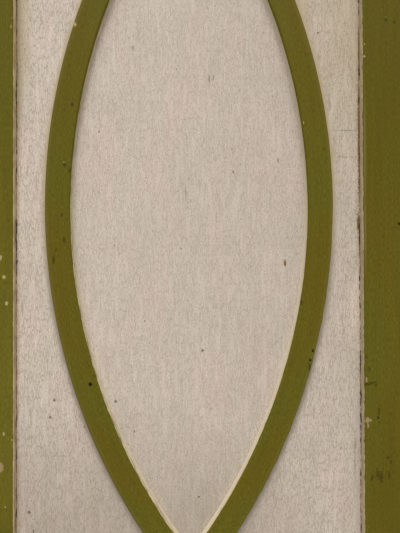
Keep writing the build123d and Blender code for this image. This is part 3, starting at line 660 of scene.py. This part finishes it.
def paint_leaf_timber(name, order):
    """Olive paint on a stile or rail, with the cream edges towards its panels."""
    material, shader, vector = start_material(name, olive_roughness, olive_specular)
    place = turn(vector, order)
    # Painted light and painted shade at the places listed above
    painted_lighter = place_marks(vector, painted_lighter_places, leaf_face, soft=0.9)
    shaded = place_marks(vector, shaded_places, leaf_face, soft=0.9)
    colour, ridges = brush_olive(place, (painted_lighter * 0.8, olive_painted_lighter), (shaded * 0.9, olive_shaded))

    # Wear on the arrises, painted highlights on the hinge stile's arris, chips down to the coats
    # under the olive, knocks, and dirt
    edges = effect("arris", Vector=vector, Patch=0.02, Wear=0.36)
    rubs = step_up(mottle(vector, (0.05, 0.05, 0.09)), 0.46, 0.6)
    highlights_and_wear = place_marks(vector, stile_highlights_and_wear, leaf_face, soft=0.5) * 0.8
    chips = effect("pits", Vector=vector, Spacing=0.07, Size=0.022, Share=0.22)
    jag = make_jag(vector, 0.0014, 1.6)
    pale = largest(chips["Spots"], place_marks(vector, pale_chips, leaf_face, jag))
    deep = place_marks(vector, primer_chips, leaf_face, jag)
    dotted = make_jag(vector, 0.0011, 4.0)
    handled = effect("handling", Vector=vector)
    colour = lay_coats(
        colour,
        (largest(edges["Edge"] * rubs, highlights_and_wear), olive_rubbed),
        (edges["Rubbed"], undercoat),
        (deep, primer),
        (pale, undercoat),
        (place_marks(vector, stile_knocks, leaf_face, dotted, 0.4) * 0.75, olive_dark),
        (place_marks(vector, stile_holes, leaf_face, jag, 0.4), hole_black),
        (handled["Touch"] * 0.6, hand_grease),
        (handled["Dust"] * 0.5, floor_dust),
    )

    # Cream on the edges that look into the panels, lapping a little way round the arris,
    # with the foot of the split on them. A painted shade line darkens the olive's edge, most by
    # the meeting stile, and the walls by the hinges are painted lighter and greyer as painted
    # light
    parts = take_apart(vector)
    outside = effect("sight", Vector=vector)["Outside"]
    by_hinges = abs(parts[0]) - leaf_middle > 0.0
    waver = mottle(vector, (0.004, 0.004, 0.006), 4.0)
    line = waver * cream_waver + (by_hinges * cream_lap_by_hinges + cream_lap)
    past_line = line - outside
    # Painted shade along the olive's edge at the walls, stronger by the meeting stile
    painted_shade_line = step_up(abs(past_line), 0.0007, 0.0001)
    dirt = step_up(mottle(place, (0.004, 0.02, 0.004), 4.0), 0.35, 0.65)
    edge_colour = mix_colours(dirt, edge_dull, edge_cream)
    # Painted light: the walls by the hinges are mixed towards the lighter, greyer cream
    edge_colour = mix_colours(by_hinges * 0.4, edge_colour, edge_painted_lit)
    seen = (parts[1] - panel_face) * wall_foreshortening
    shift = by_hinges * split_shift_by_hinges + split_shift
    split = effect("split", Vector=vector, Away=seen, Shift=shift)
    on_wall = step_up(outside, 0.0004, 0.0002)
    colour = lay_coats(
        colour,
        (painted_shade_line * (by_hinges * -0.4 + 0.7), olive_dark),
        (step_up(past_line, -line_soft, line_soft), edge_colour),
        ((by_hinges * -0.3 + 0.8) * (split["Worn"] * on_wall), split_brown),
        (split["Open"] * on_wall, split_black),
    )
    lay_on(shader, colour, ridges - largest(pale, deep, edges["Rubbed"]), olive_depth)
    return material


stile_paint = paint_leaf_timber("olive paint on stiles", "upright")
finish_all("stile", stile_paint)
finish_all("rail", paint_leaf_timber("olive paint on rails", "level"))

# The panels
# Thin boards loose in the grooves, under many coats of cream paint that has crackled into
# fine upright flakes. Where they meet the stiles the paint has split and dirt shows brown.
cream_pink = (0.618, 0.514, 0.440)
cream_green = (0.594, 0.518, 0.430)
cream_lined = (0.30, 0.235, 0.170)
cream_pitted = (0.11, 0.085, 0.060)
cream_yellowed = (0.46, 0.375, 0.225)
# Serves for clouds of grime and for painted shade
cream_grime_and_shade = (0.345, 0.288, 0.224)
cream_greyed = (0.455, 0.410, 0.390)
# Dirt, and also painted shade and painted shadow at the bands
oval_dirt_and_shade = (0.20, 0.145, 0.080)
cream_depth = 0.00015
# How much the painted light lifts the cream
painted_light_lift = 0.2
painted_shade_level = 1.12
painted_shade_rise = 0.17
painted_shade_low_down = 0.74
painted_shade_by_hinges = 0.3
grime_clouds = 0.08

# Places and marks on the panel, given as those on the stiles are
# Painted light: a place by the hinge stile lifted lighter
painted_light_places = {"by the hinge stile": (356.5, 308.0, 5.0, 30.0)}
panel_dots = {
    "by the left arc": (115.5, 401.5, 1.3, 1.5),
    "by the meeting stile, low": (29.2, 512.5, 1.5, 1.7),
    "by the meeting stile": (54.5, 400.3, 1.2, 1.4),
    "under it": (50.3, 417.3, 1.3, 1.4),
    "middle": (202.5, 350.5, 1.4, 1.3),
    "low in the oval": (198.8, 496.8, 1.1, 1.1),
    "upper": (233.2, 172.0, 0.65, 1.5),
    "on the left": (43.5, 206.5, 0.7, 1.5),
    "beside the left arc": (114.6, 245.6, 0.5, 1.3),
    "lower left": (134.5, 431.5, 0.6, 1.4),
    "inside the right arc": (278.1, 160.5, 0.55, 2.3),
    "high, on the left": (99.0, 132.0, 0.9, 0.9),
    "high, on the right": (318.0, 33.0, 1.0, 1.0),
    "middle, left": (181.2, 248.8, 0.65, 0.7),
    "middle, lower left": (144.8, 321.2, 0.75, 0.9),
    "lower left, outside": (84.2, 426.8, 0.9, 1.1),
    "lowest": (33.5, 531.5, 0.8, 2.2),
}
panel_scratches = {
    "long": (209.2, 78.8, 1.1, 3.4),
    "beside it": (213.5, 78.0, 0.8, 2.6),
    "upper left": (132.9, 47.9, 0.9, 2.8),
    "middle": (185.6, 192.0, 0.45, 9.0),
    "by the hinge stile": (355.5, 444.5, 1.0, 4.4),
    "along the hinge stile": (355.0, 462.0, 0.5, 14.0),
    "by the meeting stile": (22.5, 308.0, 0.9, 8.5),
    "across, upper": (346.0, 130.4, 12.0, 0.4),
    "across, lower": (345.0, 157.0, 11.0, 0.4),
}
panel_nick = {"right of the middle": (285.0, 263.2, 1.3, 3.4)}
yellow_stains = {
    "at the meeting stile": (21.5, 22.0, 8.0, 62.0),
    "high, by the hinge stile": (344.0, 8.0, 26.0, 120.0),
    "foot of the right arc": (300.0, 4.0, 14.0, 60.0),
}
grey_places = {
    "by the hinge stile, low": (358.6, 425.0, 2.4, 26.0),
    "by the hinge stile, lowest": (357.8, 490.0, 2.8, 44.0),
    "left of it": (353.4, 410.0, 1.2, 16.0),
    "by the meeting stile, low": (23.6, 440.0, 1.6, 60.0),
}
torn_places = {
    "long, by the hinge stile": (358.9, 140.0, 0.7, 62.0),
    "wide, under it": (358.3, 222.0, 1.5, 9.0),
    "its tail": (359.6, 243.0, 0.8, 17.0),
    "high": (358.7, 52.0, 0.6, 22.0),
}

oval_half_width = (oval_high.x - oval_low.x) / 2
oval_half_height = (oval_high.z - oval_low.z) / 2
outer_radius = (oval_half_width**2 + oval_half_height**2) / (2 * oval_half_width)
arc_offset = outer_radius - oval_half_width
band_width = 0.0307
bead_width = 0.0020
panel_paint, shader, vector = start_material("crackled cream paint", 0.6, 0.12)
place = turn(vector, "upright")

# Where a point lies from the oval: above its middle, and in from its outer edge
parts = take_apart(vector)
to_hinges = abs(parts[0]) - leaf_middle
above = parts[2] - oval_middle.z
inset = outer_radius - distance(abs(to_hinges) + arc_offset, above)
outside_oval = inset < band_width / 2
inside_oval = 1.0 - outside_oval

# Coats of cream, a little pink here and green there, brushed upright and crackled
marks = effect("brush marks", Vector=place, Width=0.0017, Length=0.030)
flakes = effect("crackle", Vector=place, Width=0.0016, Length=0.011, Line=0.16, Cover=0.65)
patches = step_up(mottle(place, (0.03, 0.07, 0.03), 3.0), 0.36, 0.64)
speckle = mottle(place, (0.0010, 0.0020, 0.0010), 0.0)
shade = (marks["Fine"] * 0.22 + 0.89) * (speckle * 0.50 + 0.76)
shade = shade * (flakes["Flake"] * 0.06 + 0.98) * (marks["Broad"] * 0.05 + 0.975)
shade = shade * (outside_oval * 0.035 + 1.0)
cracked = outside_oval * 0.18 + 0.42

# Yellowed places, clouds of grime, and painted shade that darkens the panel towards the
# bottom and towards the hinge side
faint = mottle(vector, (0.03, 0.03, 0.05), 3.0)
clouds = step_up(mottle(vector, (0.045, 0.045, 0.07), 4.0), 0.42, 0.66)
stained = place_marks(vector, yellow_stains, panel_face, soft=0.9)
# Painted shade: darker towards the lock rail, less so by the hinges, and darker towards the hinge
# side
low_painted_shade = step_up(parts[2], painted_shade_level + painted_shade_rise, painted_shade_level - painted_shade_rise) ** 1.8
low_painted_shade = low_painted_shade * painted_shade_low_down * (step_up(to_hinges, 0.05, 0.2) * -0.6 + 1.0)
side_painted_shade = step_up(to_hinges, -0.24, 0.26) * painted_shade_by_hinges
grey_rims = make_jag(vector, 0.004, 0.8)
greyed = place_marks(vector, grey_places, panel_face, grey_rims, 0.35)
colour = lay_coats(
    mix_colours(patches, cream_pink, cream_green),
    (clouds * grime_clouds, cream_grime_and_shade),
    (stained * (faint * 0.9 + 0.1), cream_yellowed),
    (largest(side_painted_shade, low_painted_shade) * (faint * 0.7 + 0.65), cream_grime_and_shade),
)
colour = lay_coats(
    resize(colour, shade),
    (flakes["Lines"] * cracked, cream_lined),
    (greyed * 0.4, cream_greyed),
)

# Small marks: pits all over, and the dots and scratches that can be told apart
pits = effect("pits", Vector=place, Spacing=0.013, Size=0.07, Share=0.3)
upright = stretch(place, (1.0, 2.0, 1.0))
pinholes = effect("pits", Vector=upright, Spacing=0.0036, Size=0.2, Share=0.4)
crowded = step_up(mottle(vector, (0.03, 0.03, 0.04), 3.0), 0.35, 0.65) * 0.32 + 0.16
jag = make_jag(vector, 0.0012, 1.2)
dots = place_marks(vector, panel_dots, panel_face, jag, 0.35)
scratches = place_marks(vector, panel_scratches, panel_face, jag, 0.5)
colour = lay_coats(
    colour,
    (pits["Spots"] * 0.5, cream_pitted),
    (pinholes["Spots"] * crowded, split_brown),
    (dots * 0.8, cream_pitted),
    (scratches * 0.4, cream_pitted),
    (place_marks(vector, panel_nick, panel_face, jag, 0.25), split_brown),
)

# Yellowed paint round the planted oval, turning to painted shadow under its lower half;
# painted shadow at the foot of the bands inside its upper half, and painted light low inside it
in_front = step_up(parts[1], panel_face + 0.004, panel_face + 0.002)
uneven = mottle(vector, (0.006, 0.006, 0.012), 3.0)
# Painted shadow: the yellowed rim turns grey-brown under the lower half of the oval
rim = step_up(inset, uneven * -0.012 - 0.0035, -0.002) * 0.95 * in_front * outside_oval
rim_colour = mix_colours(step_up(above, 0.05, -0.12), cream_yellowed, cream_grime_and_shade)
past_band = inset - (band_width + bead_width)
# Painted shadow: brown at the foot of the bands inside the upper half of the oval
foot = step_up(past_band - (uneven * 0.006 - 0.001), 0.0008, -0.0006) * inside_oval * in_front
foot = foot * (step_up(above, -0.06, 0.10) * 0.12)
colour = lay_coats(colour, (rim, rim_colour), (foot, oval_dirt_and_shade))
# Painted light: the cream lifted beside the foot of the bands, low inside the oval
foot_clean = step_up(past_band, 0.010, 0.002) * inside_oval * step_up(above, -0.05, -0.2)
foot_clean = foot_clean * in_front * 0.4

# Painted light lifts the cream beside the meeting stile below the upper part of the oval, at a
# place by the hinge stile, and low inside the oval. The paint is yellow high up by the stiles.
# The split along them is uneven, black where it is open and brown where worn
inside = effect("sight", Vector=vector)["Outside"] * -1.0
by_hinges = to_hinges > 0.0
# Painted light: the cream lifted beside the meeting stile, below the upper part of the oval
stile_painted_light = step_up(inside, 0.012, 0.003) * (1.0 - by_hinges) * step_up(above, 0.14, 0.06)
placed_painted_light = place_marks(vector, painted_light_places, panel_face, soft=0.9)
clean_and_painted_light = largest(stile_painted_light, placed_painted_light, foot_clean)
tanned = (by_hinges * -0.35 + 0.6) * step_up(inside, 0.009, 0.001) * step_up(above, 0.03, 0.13)
shift = by_hinges * split_shift_by_hinges + split_shift
split = effect("split", Vector=vector, Away=inside, Shift=shift)
torn_rims = make_jag(vector, 0.0016, 3.0)
torn = place_marks(vector, torn_places, panel_face, torn_rims, 0.5)
colour = lay_coats(
    resize(colour, clean_and_painted_light * painted_light_lift + 1.0),
    (tanned, cream_yellowed),
    (largest(split["Worn"] * 0.7, torn), split_brown),
    (split["Open"], split_black),
)
relief = marks["Fine"] - flakes["Lines"] * 0.5 - (pits["Spots"] + dots) - split["Open"]
lay_on(shader, colour, relief, cream_depth)
finish_all("panel", panel_paint)

# The pointed ovals
# Two sawn arcs planted on each upper panel and mitred at the tips. Their faces are
# olive-green and their edges cream, and the two colours meet in an uneven line.
band_thickness = panel_face - oval_low.y
band_arris = 0.0021
arris_steps = 3
arris_margin = 0.0004
band_crown = 0.0001
bead_height = 0.0030
bead_hollow = 0.6
waver_count = 14.0
sharp_edge = radians(40)

# How far down the sides the olive reaches: everywhere, and more or less in some places
band_lap = 0.0006
inner_lap = -0.0004
inner_lap_by_hinges = 0.0010
inner_lap_high_up = 0.0014
outer_lap_high_up = 0.0012
outer_lap_by_hinges = -0.0006
band_cream = (0.625, 0.565, 0.355)
cream_dull = (0.29, 0.218, 0.128)
cream_yellowed_pale = (0.565, 0.488, 0.352)
band_knocks = {
    "dot beside it": (94.2, 376.0, 0.9, 1.0),
    "dot, upper": (72.1, 104.3, 1.5, 1.9),
    "dent": (64.6, 165.0, 1.6, 2.2),
    "dent, right": (69.5, 170.5, 0.8, 2.4),
    "dent below": (62.0, 215.0, 1.0, 2.0),
    "dent lower": (64.0, 240.0, 1.3, 2.6),
    "dark line": (53.6, 259.9, 1.1, 4.4),
    "speck": (56.0, 250.0, 0.8, 1.4),
    "on the right band, lower": (309.6, 367.0, 1.3, 3.8),
    "on the right band, dot": (324.0, 149.0, 0.9, 1.0),
    "inner edge of the right band": (301.5, 302.5, 0.8, 3.0),
}
band_holes = {
    "at the inner edge": (90.1, 384.4, 1.8, 1.9),
    "on the right band": (310.4, 360.0, 1.1, 1.5),
    "on the right band, upper": (312.9, 350.9, 0.9, 1.6),
}
band_nicks = {
    "at the outer edge": (75.0, 24.2, 1.3, 2.0),
    "on the left band": (64.0, 162.2, 0.6, 0.5),
    "on the right band": (303.5, 122.5, 0.4, 1.3),
}


def band_section():
    """The band's outline: distance in from its outer edge, and height off the panel."""
    hollow = (bead_width * (1 - bead_hollow), bead_height * (1 - bead_hollow))
    arris_foot = band_thickness - band_arris
    outline = [
        (-bead_width, 0.0),
        (-hollow[0], hollow[1]),
        (0.0, bead_height),
        (0.0, arris_foot - arris_margin),
    ]
    for corner, start in ((band_arris, pi), (band_width - band_arris, pi / 2)):
        for step in range(arris_steps + 1):
            angle = start - pi / 2 * step / arris_steps
            bow = (corner + band_arris * cos(angle), arris_foot + band_arris * sin(angle))
            outline.append(bow)
        if corner == band_arris:
            outline.append((corner + arris_margin, band_thickness))
            outline.append((band_width / 2, band_thickness + band_crown))
            outline.append((band_width - corner - arris_margin, band_thickness))
    outline.append((band_width, arris_foot - arris_margin))
    outline.append((band_width, bead_height))
    outline.append((band_width + hollow[0], hollow[1]))
    outline.append((band_width + bead_width, 0.0))
    return outline


def start_rule(name, sizes):
    """A Geometry Nodes tree with a named input for each size."""
    inputs = {"Geometry": "Geometry", **sizes, "Finish": "Material"}
    return start_group("GeometryNodeTree", name, inputs, ("Geometry",), "Geometry")


def end_rule(entry, way_out, shape):
    """The end of a tree: its instances made real, and the finish set on them."""
    real = Step(entry.tree, "GeometryNodeRealizeInstances", {"Geometry": shape})[0]
    sockets = {"Geometry": real, "Material": entry["Finish"]}
    join(Step(entry.tree, "GeometryNodeSetMaterial", sockets)[0], way_out["Geometry"])


def grow(piece, rule, sizes):
    """Runs a tree on what a piece starts from, and keeps the result as its plain mesh."""
    modifier = piece.modifiers.new("rule", "NODES")
    modifier.node_group = rule
    for socket in rule.interface.items_tree:
        if socket.in_out == "INPUT" and socket.name in sizes:
            modifier[socket.identifier] = sizes[socket.name]
    worked_out = bpy.context.evaluated_depsgraph_get()
    grown = bpy.data.meshes.new_from_object(
        piece.evaluated_get(worked_out), preserve_all_data_layers=True, depsgraph=worked_out
    )
    piece.modifiers.clear()
    piece.data = grown


def round_off(piece):
    """Turns the faces outwards and shades them smooth, but for the sharp edges."""
    shape = bmesh.new()
    shape.from_mesh(piece.data)
    bmesh.ops.recalc_face_normals(shape, faces=shape.faces)
    for face in shape.faces:
        face.smooth = True
    for edge in shape.edges:
        edge.smooth = edge.calc_face_angle(pi) < sharp_edge
    shape.to_mesh(piece.data)
    shape.free()


def note(piece, name, kind, values):
    """Keeps values on the points of a piece, for its rule to read."""
    kept = piece.data.attributes.new(name, kind, "POINT")
    kept.data.foreach_set("vector" if kind == "FLOAT_VECTOR" else "value", values)


def read_value(tree, name, kind):
    sockets = {"Name": name}
    return Step(tree, "GeometryNodeInputNamedAttribute", sockets, data_type=kind)["Attribute"]


def keep_value(shape, name, value, kind):
    sockets = {"Geometry": shape, "Name": name, "Value": value}
    settings = {"data_type": kind, "domain": "POINT"}
    return Step(shape.tree, "GeometryNodeStoreNamedAttribute", sockets, **settings)[0]


# The rule of an arc: its section is swept along a line, and each point is then bent to its
# own radius and stopped at the oval's middle line, which mitres both tips
arc_sizes = {
    "Level": oval_middle.z,
    "Face": panel_face,
    "Outer Radius": outer_radius,
    "Offset": arc_offset,
    "Thickness": band_thickness,
    "Waver": 0.00025,
    "Stations": 240,
}
entry, way_out = start_rule("pointed arc", {**arc_sizes, "Middle": leaf_middle, "Bulge": 1.0})
arc_rule = entry.tree
section = Step(arc_rule, "GeometryNodeMeshToCurve", {"Mesh": entry["Geometry"]})[0]
ends = {"Start": (0.0, 0.0, -1.0), "End": (0.0, 0.0, 1.0)}
run = Step(arc_rule, "GeometryNodeCurvePrimitiveLine", ends)[0]
counted = {"Curve": run, "Count": entry["Stations"]}
run = Step(arc_rule, "GeometryNodeResampleCurve", counted)[0]
share = Step(arc_rule, "GeometryNodeSplineParameter")["Factor"] * 2.0 - 1.0
run = keep_value(run, "share", share, "FLOAT")
sweep = {"Curve": run, "Profile Curve": section, "Fill Caps": True}
swept = Step(arc_rule, "GeometryNodeCurveToMesh", sweep)[0]
share = read_value(arc_rule, "share", "FLOAT")
outline = take_apart(read_value(arc_rule, "outline", "FLOAT_VECTOR"))
by_hand = put_together(arc_rule, share * waver_count, entry["Middle"], entry["Bulge"])
uneven = noise(by_hand) * 2.0 - 1.0
radius = uneven * entry["Waver"] + (entry["Outer Radius"] - outline[0])
angle = work_out("ARCCOSINE", entry["Offset"] / radius) * share
out = (radius * work_out("COSINE", angle) - entry["Offset"]) * entry["Bulge"]
up = radius * work_out("SINE", angle)
forward = entry["Face"] - outline[1]
bent = put_together(arc_rule, out + entry["Middle"], forward, up + entry["Level"])
along = entry["Outer Radius"] * angle
laid = put_together(arc_rule, outline[0], along, entry["Thickness"] - outline[1])
moved = {"Geometry": keep_value(swept, "laid", laid, "FLOAT_VECTOR"), "Position": bent}
end_rule(entry, way_out, Step(arc_rule, "GeometryNodeSetPosition", moved)[0])

# The paint of the bands follows their own surface: in from the outer edge, along the arc,
# and down from the face. The outer edge is rubbed a little lighter
band_paint, shader, vector = start_material(
    "two colours on the bands", olive_roughness, olive_specular
)
laid = Step(vector.tree, "ShaderNodeAttribute", attribute_name="laid")["Vector"]
colour, ridges = brush_olive(laid)
laid_parts = take_apart(laid)
below = laid_parts[2]
rub = step_up(laid_parts[0], 0.0065, 0.0012) * mottle(laid, (0.01, 0.05, 0.01), 3.0)

# Cream on the sides, lapped over by the olive inside the upper part of the oval, where the
# walls that face down also get painted shade. The sides darken in patches, more on the
# meeting-side arc
parts = take_apart(vector)
by_hinges = abs(parts[0]) > leaf_middle
inner = step_up(laid_parts[0], band_width * 0.5, band_width * 0.6)
outer = 1.0 - inner
high_up = step_up(parts[2], oval_middle.z - 0.03, oval_middle.z + 0.09)
lapped = inner * high_up
line = inner * (by_hinges * inner_lap_by_hinges + inner_lap) + band_lap
line = mottle(vector, (0.009, 0.009, 0.009), 4.0) * cream_waver + line
line = lapped * inner_lap_high_up + line
line = by_hinges * (1.0 - high_up) * outer * outer_lap_by_hinges + line
line = high_up * outer * outer_lap_high_up + line
# Patchy dirt on the sides, heavier on the meeting-side arc
clean_and_painted_light = by_hinges * 0.12 + 0.44
dirt = step_up(mottle(laid, (0.002, 0.016, 0.002), 4.0), clean_and_painted_light, clean_and_painted_light + 0.16)
bead_top = band_thickness - bead_height
on_wall = step_up(below, bead_top, bead_top - 0.002)
# Painted shade on the bead and walls inside the upper part of the oval, with patchy dirt
bead_colour = mix_colours(lapped * 0.26 + dirt * 0.26, cream_yellowed_pale, oval_dirt_and_shade)
edge_colour = lay_coats(
    mix_colours(dirt, band_cream, cream_dull),
    (lapped * on_wall * 0.6, oval_dirt_and_shade),
    (1.0 - on_wall, bead_colour),
)

jag = make_jag(vector, 0.0014, 1.6)
specks = effect("pits", Vector=laid, Spacing=0.03, Size=0.028, Share=0.4)["Spots"] * 0.5
knocks = largest(place_marks(vector, band_knocks, oval_low.y, jag, 0.4), specks)
nicks = place_marks(vector, band_nicks, oval_low.y, jag, 0.3)
colour = lay_coats(
    colour,
    (rub * 0.7, olive_rubbed),
    (step_up(below - line, -0.0002, 0.0004), edge_colour),
    (knocks * 0.75, olive_dark),
    (place_marks(vector, band_holes, oval_low.y, jag, 0.4), hole_black),
    (nicks, undercoat),
)
lay_on(shader, colour, ridges - nicks, olive_depth)


def make_band(name, middle, bulge):
    """One arc, grown from the band's outline, which goes once round."""
    outline = [(inset, height, 0.0) for inset, height in band_section()]
    count = len(outline)
    piece = add_mesh(name, outline, [(place, (place + 1) % count) for place in range(count)])
    note(piece, "outline", "FLOAT_VECTOR", [part for point in outline for part in point])
    own_sizes = {"Middle": middle, "Bulge": float(bulge), "Finish": band_paint}
    grow(piece, arc_rule, {**arc_sizes, **own_sizes})
    round_off(piece)
    return piece


for word, side in (("left", -1), ("right", 1)):
    for arc, bulge in (("left", -1), ("right", 1)):
        band = make_band(f"oval_band_{word}_leaf_{arc}_arc", side * leaf_middle, bulge)
        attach(band, f"leaf_{word}")
        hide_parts(f"lens_band_{word}_{arc}_arc")

# The ironmongery
# Hinges, knobs, roses, bolts, plates and keeps are cast and turned brass, let in and screwed
# on. Long unpolished, they are brown, with yellow rubbed through. The lock case with its
# spindle and follower, mortised into the meeting stile, is plain steel.
brass = (0.40, 0.27, 0.105)
brass_brown = (0.165, 0.104, 0.046)
steel_grey = (0.30, 0.295, 0.285)
aged_brass, shader, vector = start_material("aged brass", 0.38, 0.5, 1.0)
tarnish = mottle(vector, (0.022, 0.022, 0.022), 4.0)
specks = mottle(vector, (0.0016, 0.0016, 0.0016), 1.0)
colour = mix_colours(step_up(tarnish, 0.34, 0.70), brass, brass_brown)
lay_on(shader, lay_coats(colour, (specks * 0.5, brass_brown)))
join(tarnish * 0.5 + 0.15, shader.inputs["Roughness"])
plain_steel, shader, vector = start_material("plain steel", 0.42, 0.5, 1.0)
film = mottle(vector, (0.006, 0.006, 0.006), 4.0)
lay_on(shader, mix_colours(film, steel_grey, brass_brown))
slots = {row["node"]: row["material_slot"] for row in frame["record"]["subparts"]}
for name, cad_node in nodes.items():
    if slots[name] == "aged_brass":
        finish_with(cad_node, aged_brass)
    elif slots[name] == "steel":
        finish_with(cad_node, plain_steel)

# The screws
# Slotted countersunk wood screws of the same brass, driven by hand through hinges, plates
# and keeps, so no two slots point the same way.
long_screw = 0.020
merge_within = 0.00002
end_depth = 0.0003
screw_sizes = {
    "Head Radius": 0.004,
    "Head Height": 0.0021,
    "Shank Radius": 0.0019,
    "Taper": 0.4,
    "Slot Width": 0.0010,
    "Slot Depth": 0.0011,
    "Long": 0.026,
    "Short": 0.014,
    "Sides": 20,
    "Seed": 11,
}


def point_outward(entry):
    """Turns each fastener to look out of its hole, and by chance about its own axis."""
    outward = {"Vector": read_value(entry.tree, "outward", "FLOAT_VECTOR")}
    upright = Step(entry.tree, "FunctionNodeAlignRotationToVector", outward, axis="Z")[0]
    chance = {"Max": 2 * pi, "Seed": entry["Seed"]}
    spin = Step(entry.tree, "FunctionNodeRandomValue", chance, data_type="FLOAT")["Value"]
    about = {"Axis": (0.0, 0.0, 1.0), "Angle": spin}
    spun = Step(entry.tree, "FunctionNodeAxisAngleToRotation", about)[0]
    both = {"Rotation": upright, "Rotate By": spun}
    return Step(entry.tree, "FunctionNodeRotateRotation", both, rotation_space="LOCAL")[0]


def sink(shape, depth):
    """Moves a shape down its own axis."""
    sockets = {"Geometry": shape, "Translation": put_together(shape.tree, z=depth * -1.0)}
    return Step(shape.tree, "GeometryNodeTransform", sockets)[0]


def make_cone(entry, top, bottom, depth):
    """A cone of so many sides that hangs by its wide end."""
    sockets = {"Vertices": entry["Sides"], "Radius Top": top, "Radius Bottom": bottom}
    return Step(entry.tree, "GeometryNodeMeshCone", {**sockets, "Depth": depth})[0]


def cut_and_join(operation, sockets):
    tree = sockets["Mesh 2"][0].tree
    settings = {"operation": operation, "solver": "EXACT"}
    return Step(tree, "GeometryNodeMeshBoolean", sockets, **settings)[0]


def fill_holes(entry, shape, rotation, chosen=True):
    """A copy of the shape at each bare point, or at the chosen ones."""
    sockets = {"Points": entry["Geometry"], "Selection": chosen, "Instance": shape}
    sockets["Rotation"] = rotation
    return Step(entry.tree, "GeometryNodeInstanceOnPoints", sockets)[0]


entry, way_out = start_rule("slotted screws", screw_sizes)
screw_rule = entry.tree
rotation = point_outward(entry)
head_height = entry["Head Height"]
head = make_cone(entry, entry["Head Radius"], entry["Shank Radius"], head_height)
head = sink(head, head_height)
cut_length = entry["Head Radius"] * 3.0
cut = put_together(screw_rule, cut_length, entry["Slot Width"], entry["Slot Depth"] * 2.0)
cut = Step(screw_rule, "GeometryNodeMeshCube", {"Size": cut})[0]
is_long = read_value(screw_rule, "long", "BOOLEAN")
is_short = Step(screw_rule, "FunctionNodeBooleanMath", {0: is_long}, operation="NOT")[0]
driven = []
for label, chosen in (("Long", is_long), ("Short", is_short)):
    tip = entry["Shank Radius"] * entry["Taper"]
    reach = entry[label] - head_height * 0.5
    shank = sink(make_cone(entry, entry["Shank Radius"], tip, reach), entry[label])
    whole = cut_and_join("UNION", {"Mesh 2": [head, shank]})
    slotted = cut_and_join("DIFFERENCE", {"Mesh 1": whole, "Mesh 2": [cut]})
    driven.append(fill_holes(entry, slotted, rotation, chosen))
joined = Step(screw_rule, "GeometryNodeJoinGeometry", {"Geometry": driven})[0]
end_rule(entry, way_out, joined)


def gather_solids(shape):
    """The points of each separate solid, in the order in which they are met."""
    met = set()
    for vertex in shape.verts:
        if vertex.index in met:
            continue
        met.add(vertex.index)
        solid = [vertex]
        for reached in solid:
            for edge in reached.link_edges:
                other = edge.other_vert(reached)
                if other.index not in met:
                    met.add(other.index)
                    solid.append(other)
        yield [point.co.copy() for point in solid]


def spread_at(points, end, run, middle):
    """How far the points at one end of a solid reach from its axis."""
    near = [point for point in points if abs(point[run] - end) < end_depth]
    across = [side for side in range(3) if side != run]
    return max(abs(point[side] - middle[side]) for point in near for side in across)


def find_solids(cad_node):
    """The wide end, direction and length of each solid of a CAD node, in fixed order."""
    shape = bmesh.new()
    shape.from_mesh(cad_node.data)
    bmesh.ops.remove_doubles(shape, verts=shape.verts, dist=merge_within)
    solids = []
    for points in gather_solids(shape):
        low = Vector(min(point[side] for point in points) for side in range(3))
        high = Vector(max(point[side] for point in points) for side in range(3))
        middle = (low + high) / 2
        size = high - low
        run = max(range(3), key=lambda side: size[side])
        spread = [spread_at(points, end, run, middle) for end in (low[run], high[run])]
        outward = Vector((0.0, 0.0, 0.0))
        outward[run] = 1.0 if spread[1] >= spread[0] else -1.0
        start = middle + outward * size[run] / 2
        solids.append((start, outward, size[run]))
    shape.free()
    return sorted(solids, key=lambda solid: [round(part, 4) for part in solid[0]])


def mark_starts(name, solids):
    """One bare point for each solid, with what its rule needs to know."""
    piece = add_mesh(name, [start for start, outward, length in solids])
    note(piece, "outward", "FLOAT_VECTOR", [part for solid in solids for part in solid[1]])
    note(piece, "long", "BOOLEAN", [solid[2] > long_screw for solid in solids])
    return piece


for name, body in (("frame", "frame"), ("left", "leaf_left"), ("right", "leaf_right")):
    solids = find_solids(nodes[f"screws_{name}"])
    lengths = sorted({round(solid[2], 4) for solid in solids})
    screws = mark_starts(f"slotted_screws_{name}", solids)
    own_sizes = {"Long": lengths[-1], "Short": lengths[0], "Finish": aged_brass}
    grow(screws, screw_rule, {**screw_sizes, **own_sizes})
    round_off(screws)
    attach(screws, body)
    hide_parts(f"screws_{name}")
    slots[f"screws_{name}"]

# The pegs
# Split oak pegs, driven through the joints of the stiles, left a hair proud and painted over
# with them.
peg_sizes = {"Radius": 0.0045, "Length": 0.041, "Proud": 0.0005, "Sides": 9, "Seed": 5}
entry, way_out = start_rule("driven pegs", peg_sizes)
peg_rule = entry.tree
peg = {
    "Vertices": entry["Sides"],
    "Radius": entry["Radius"],
    "Depth": entry["Proud"] * 2.0 + entry["Length"],
}
peg = Step(peg_rule, "GeometryNodeMeshCylinder", peg)["Mesh"]
peg = sink(peg, entry["Length"] * 0.5)
end_rule(entry, way_out, fill_holes(entry, peg, point_outward(entry)))
for word in ("left", "right"):
    solids = find_solids(nodes[f"pegs_{word}"])
    pegs = mark_starts(f"driven_pegs_{word}", solids)
    grow(pegs, peg_rule, {**peg_sizes, "Length": solids[0][2], "Finish": stile_paint})
    round_off(pegs)
    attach(pegs, f"leaf_{word}")
    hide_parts(f"pegs_{word}")
    slots[f"pegs_{word}"]

new_low, new_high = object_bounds()
boxes = {"cad": (cad_low, cad_high), "visual": (new_low, new_high)}
{name: [list(corner) for corner in box] for name, box in boxes.items()}
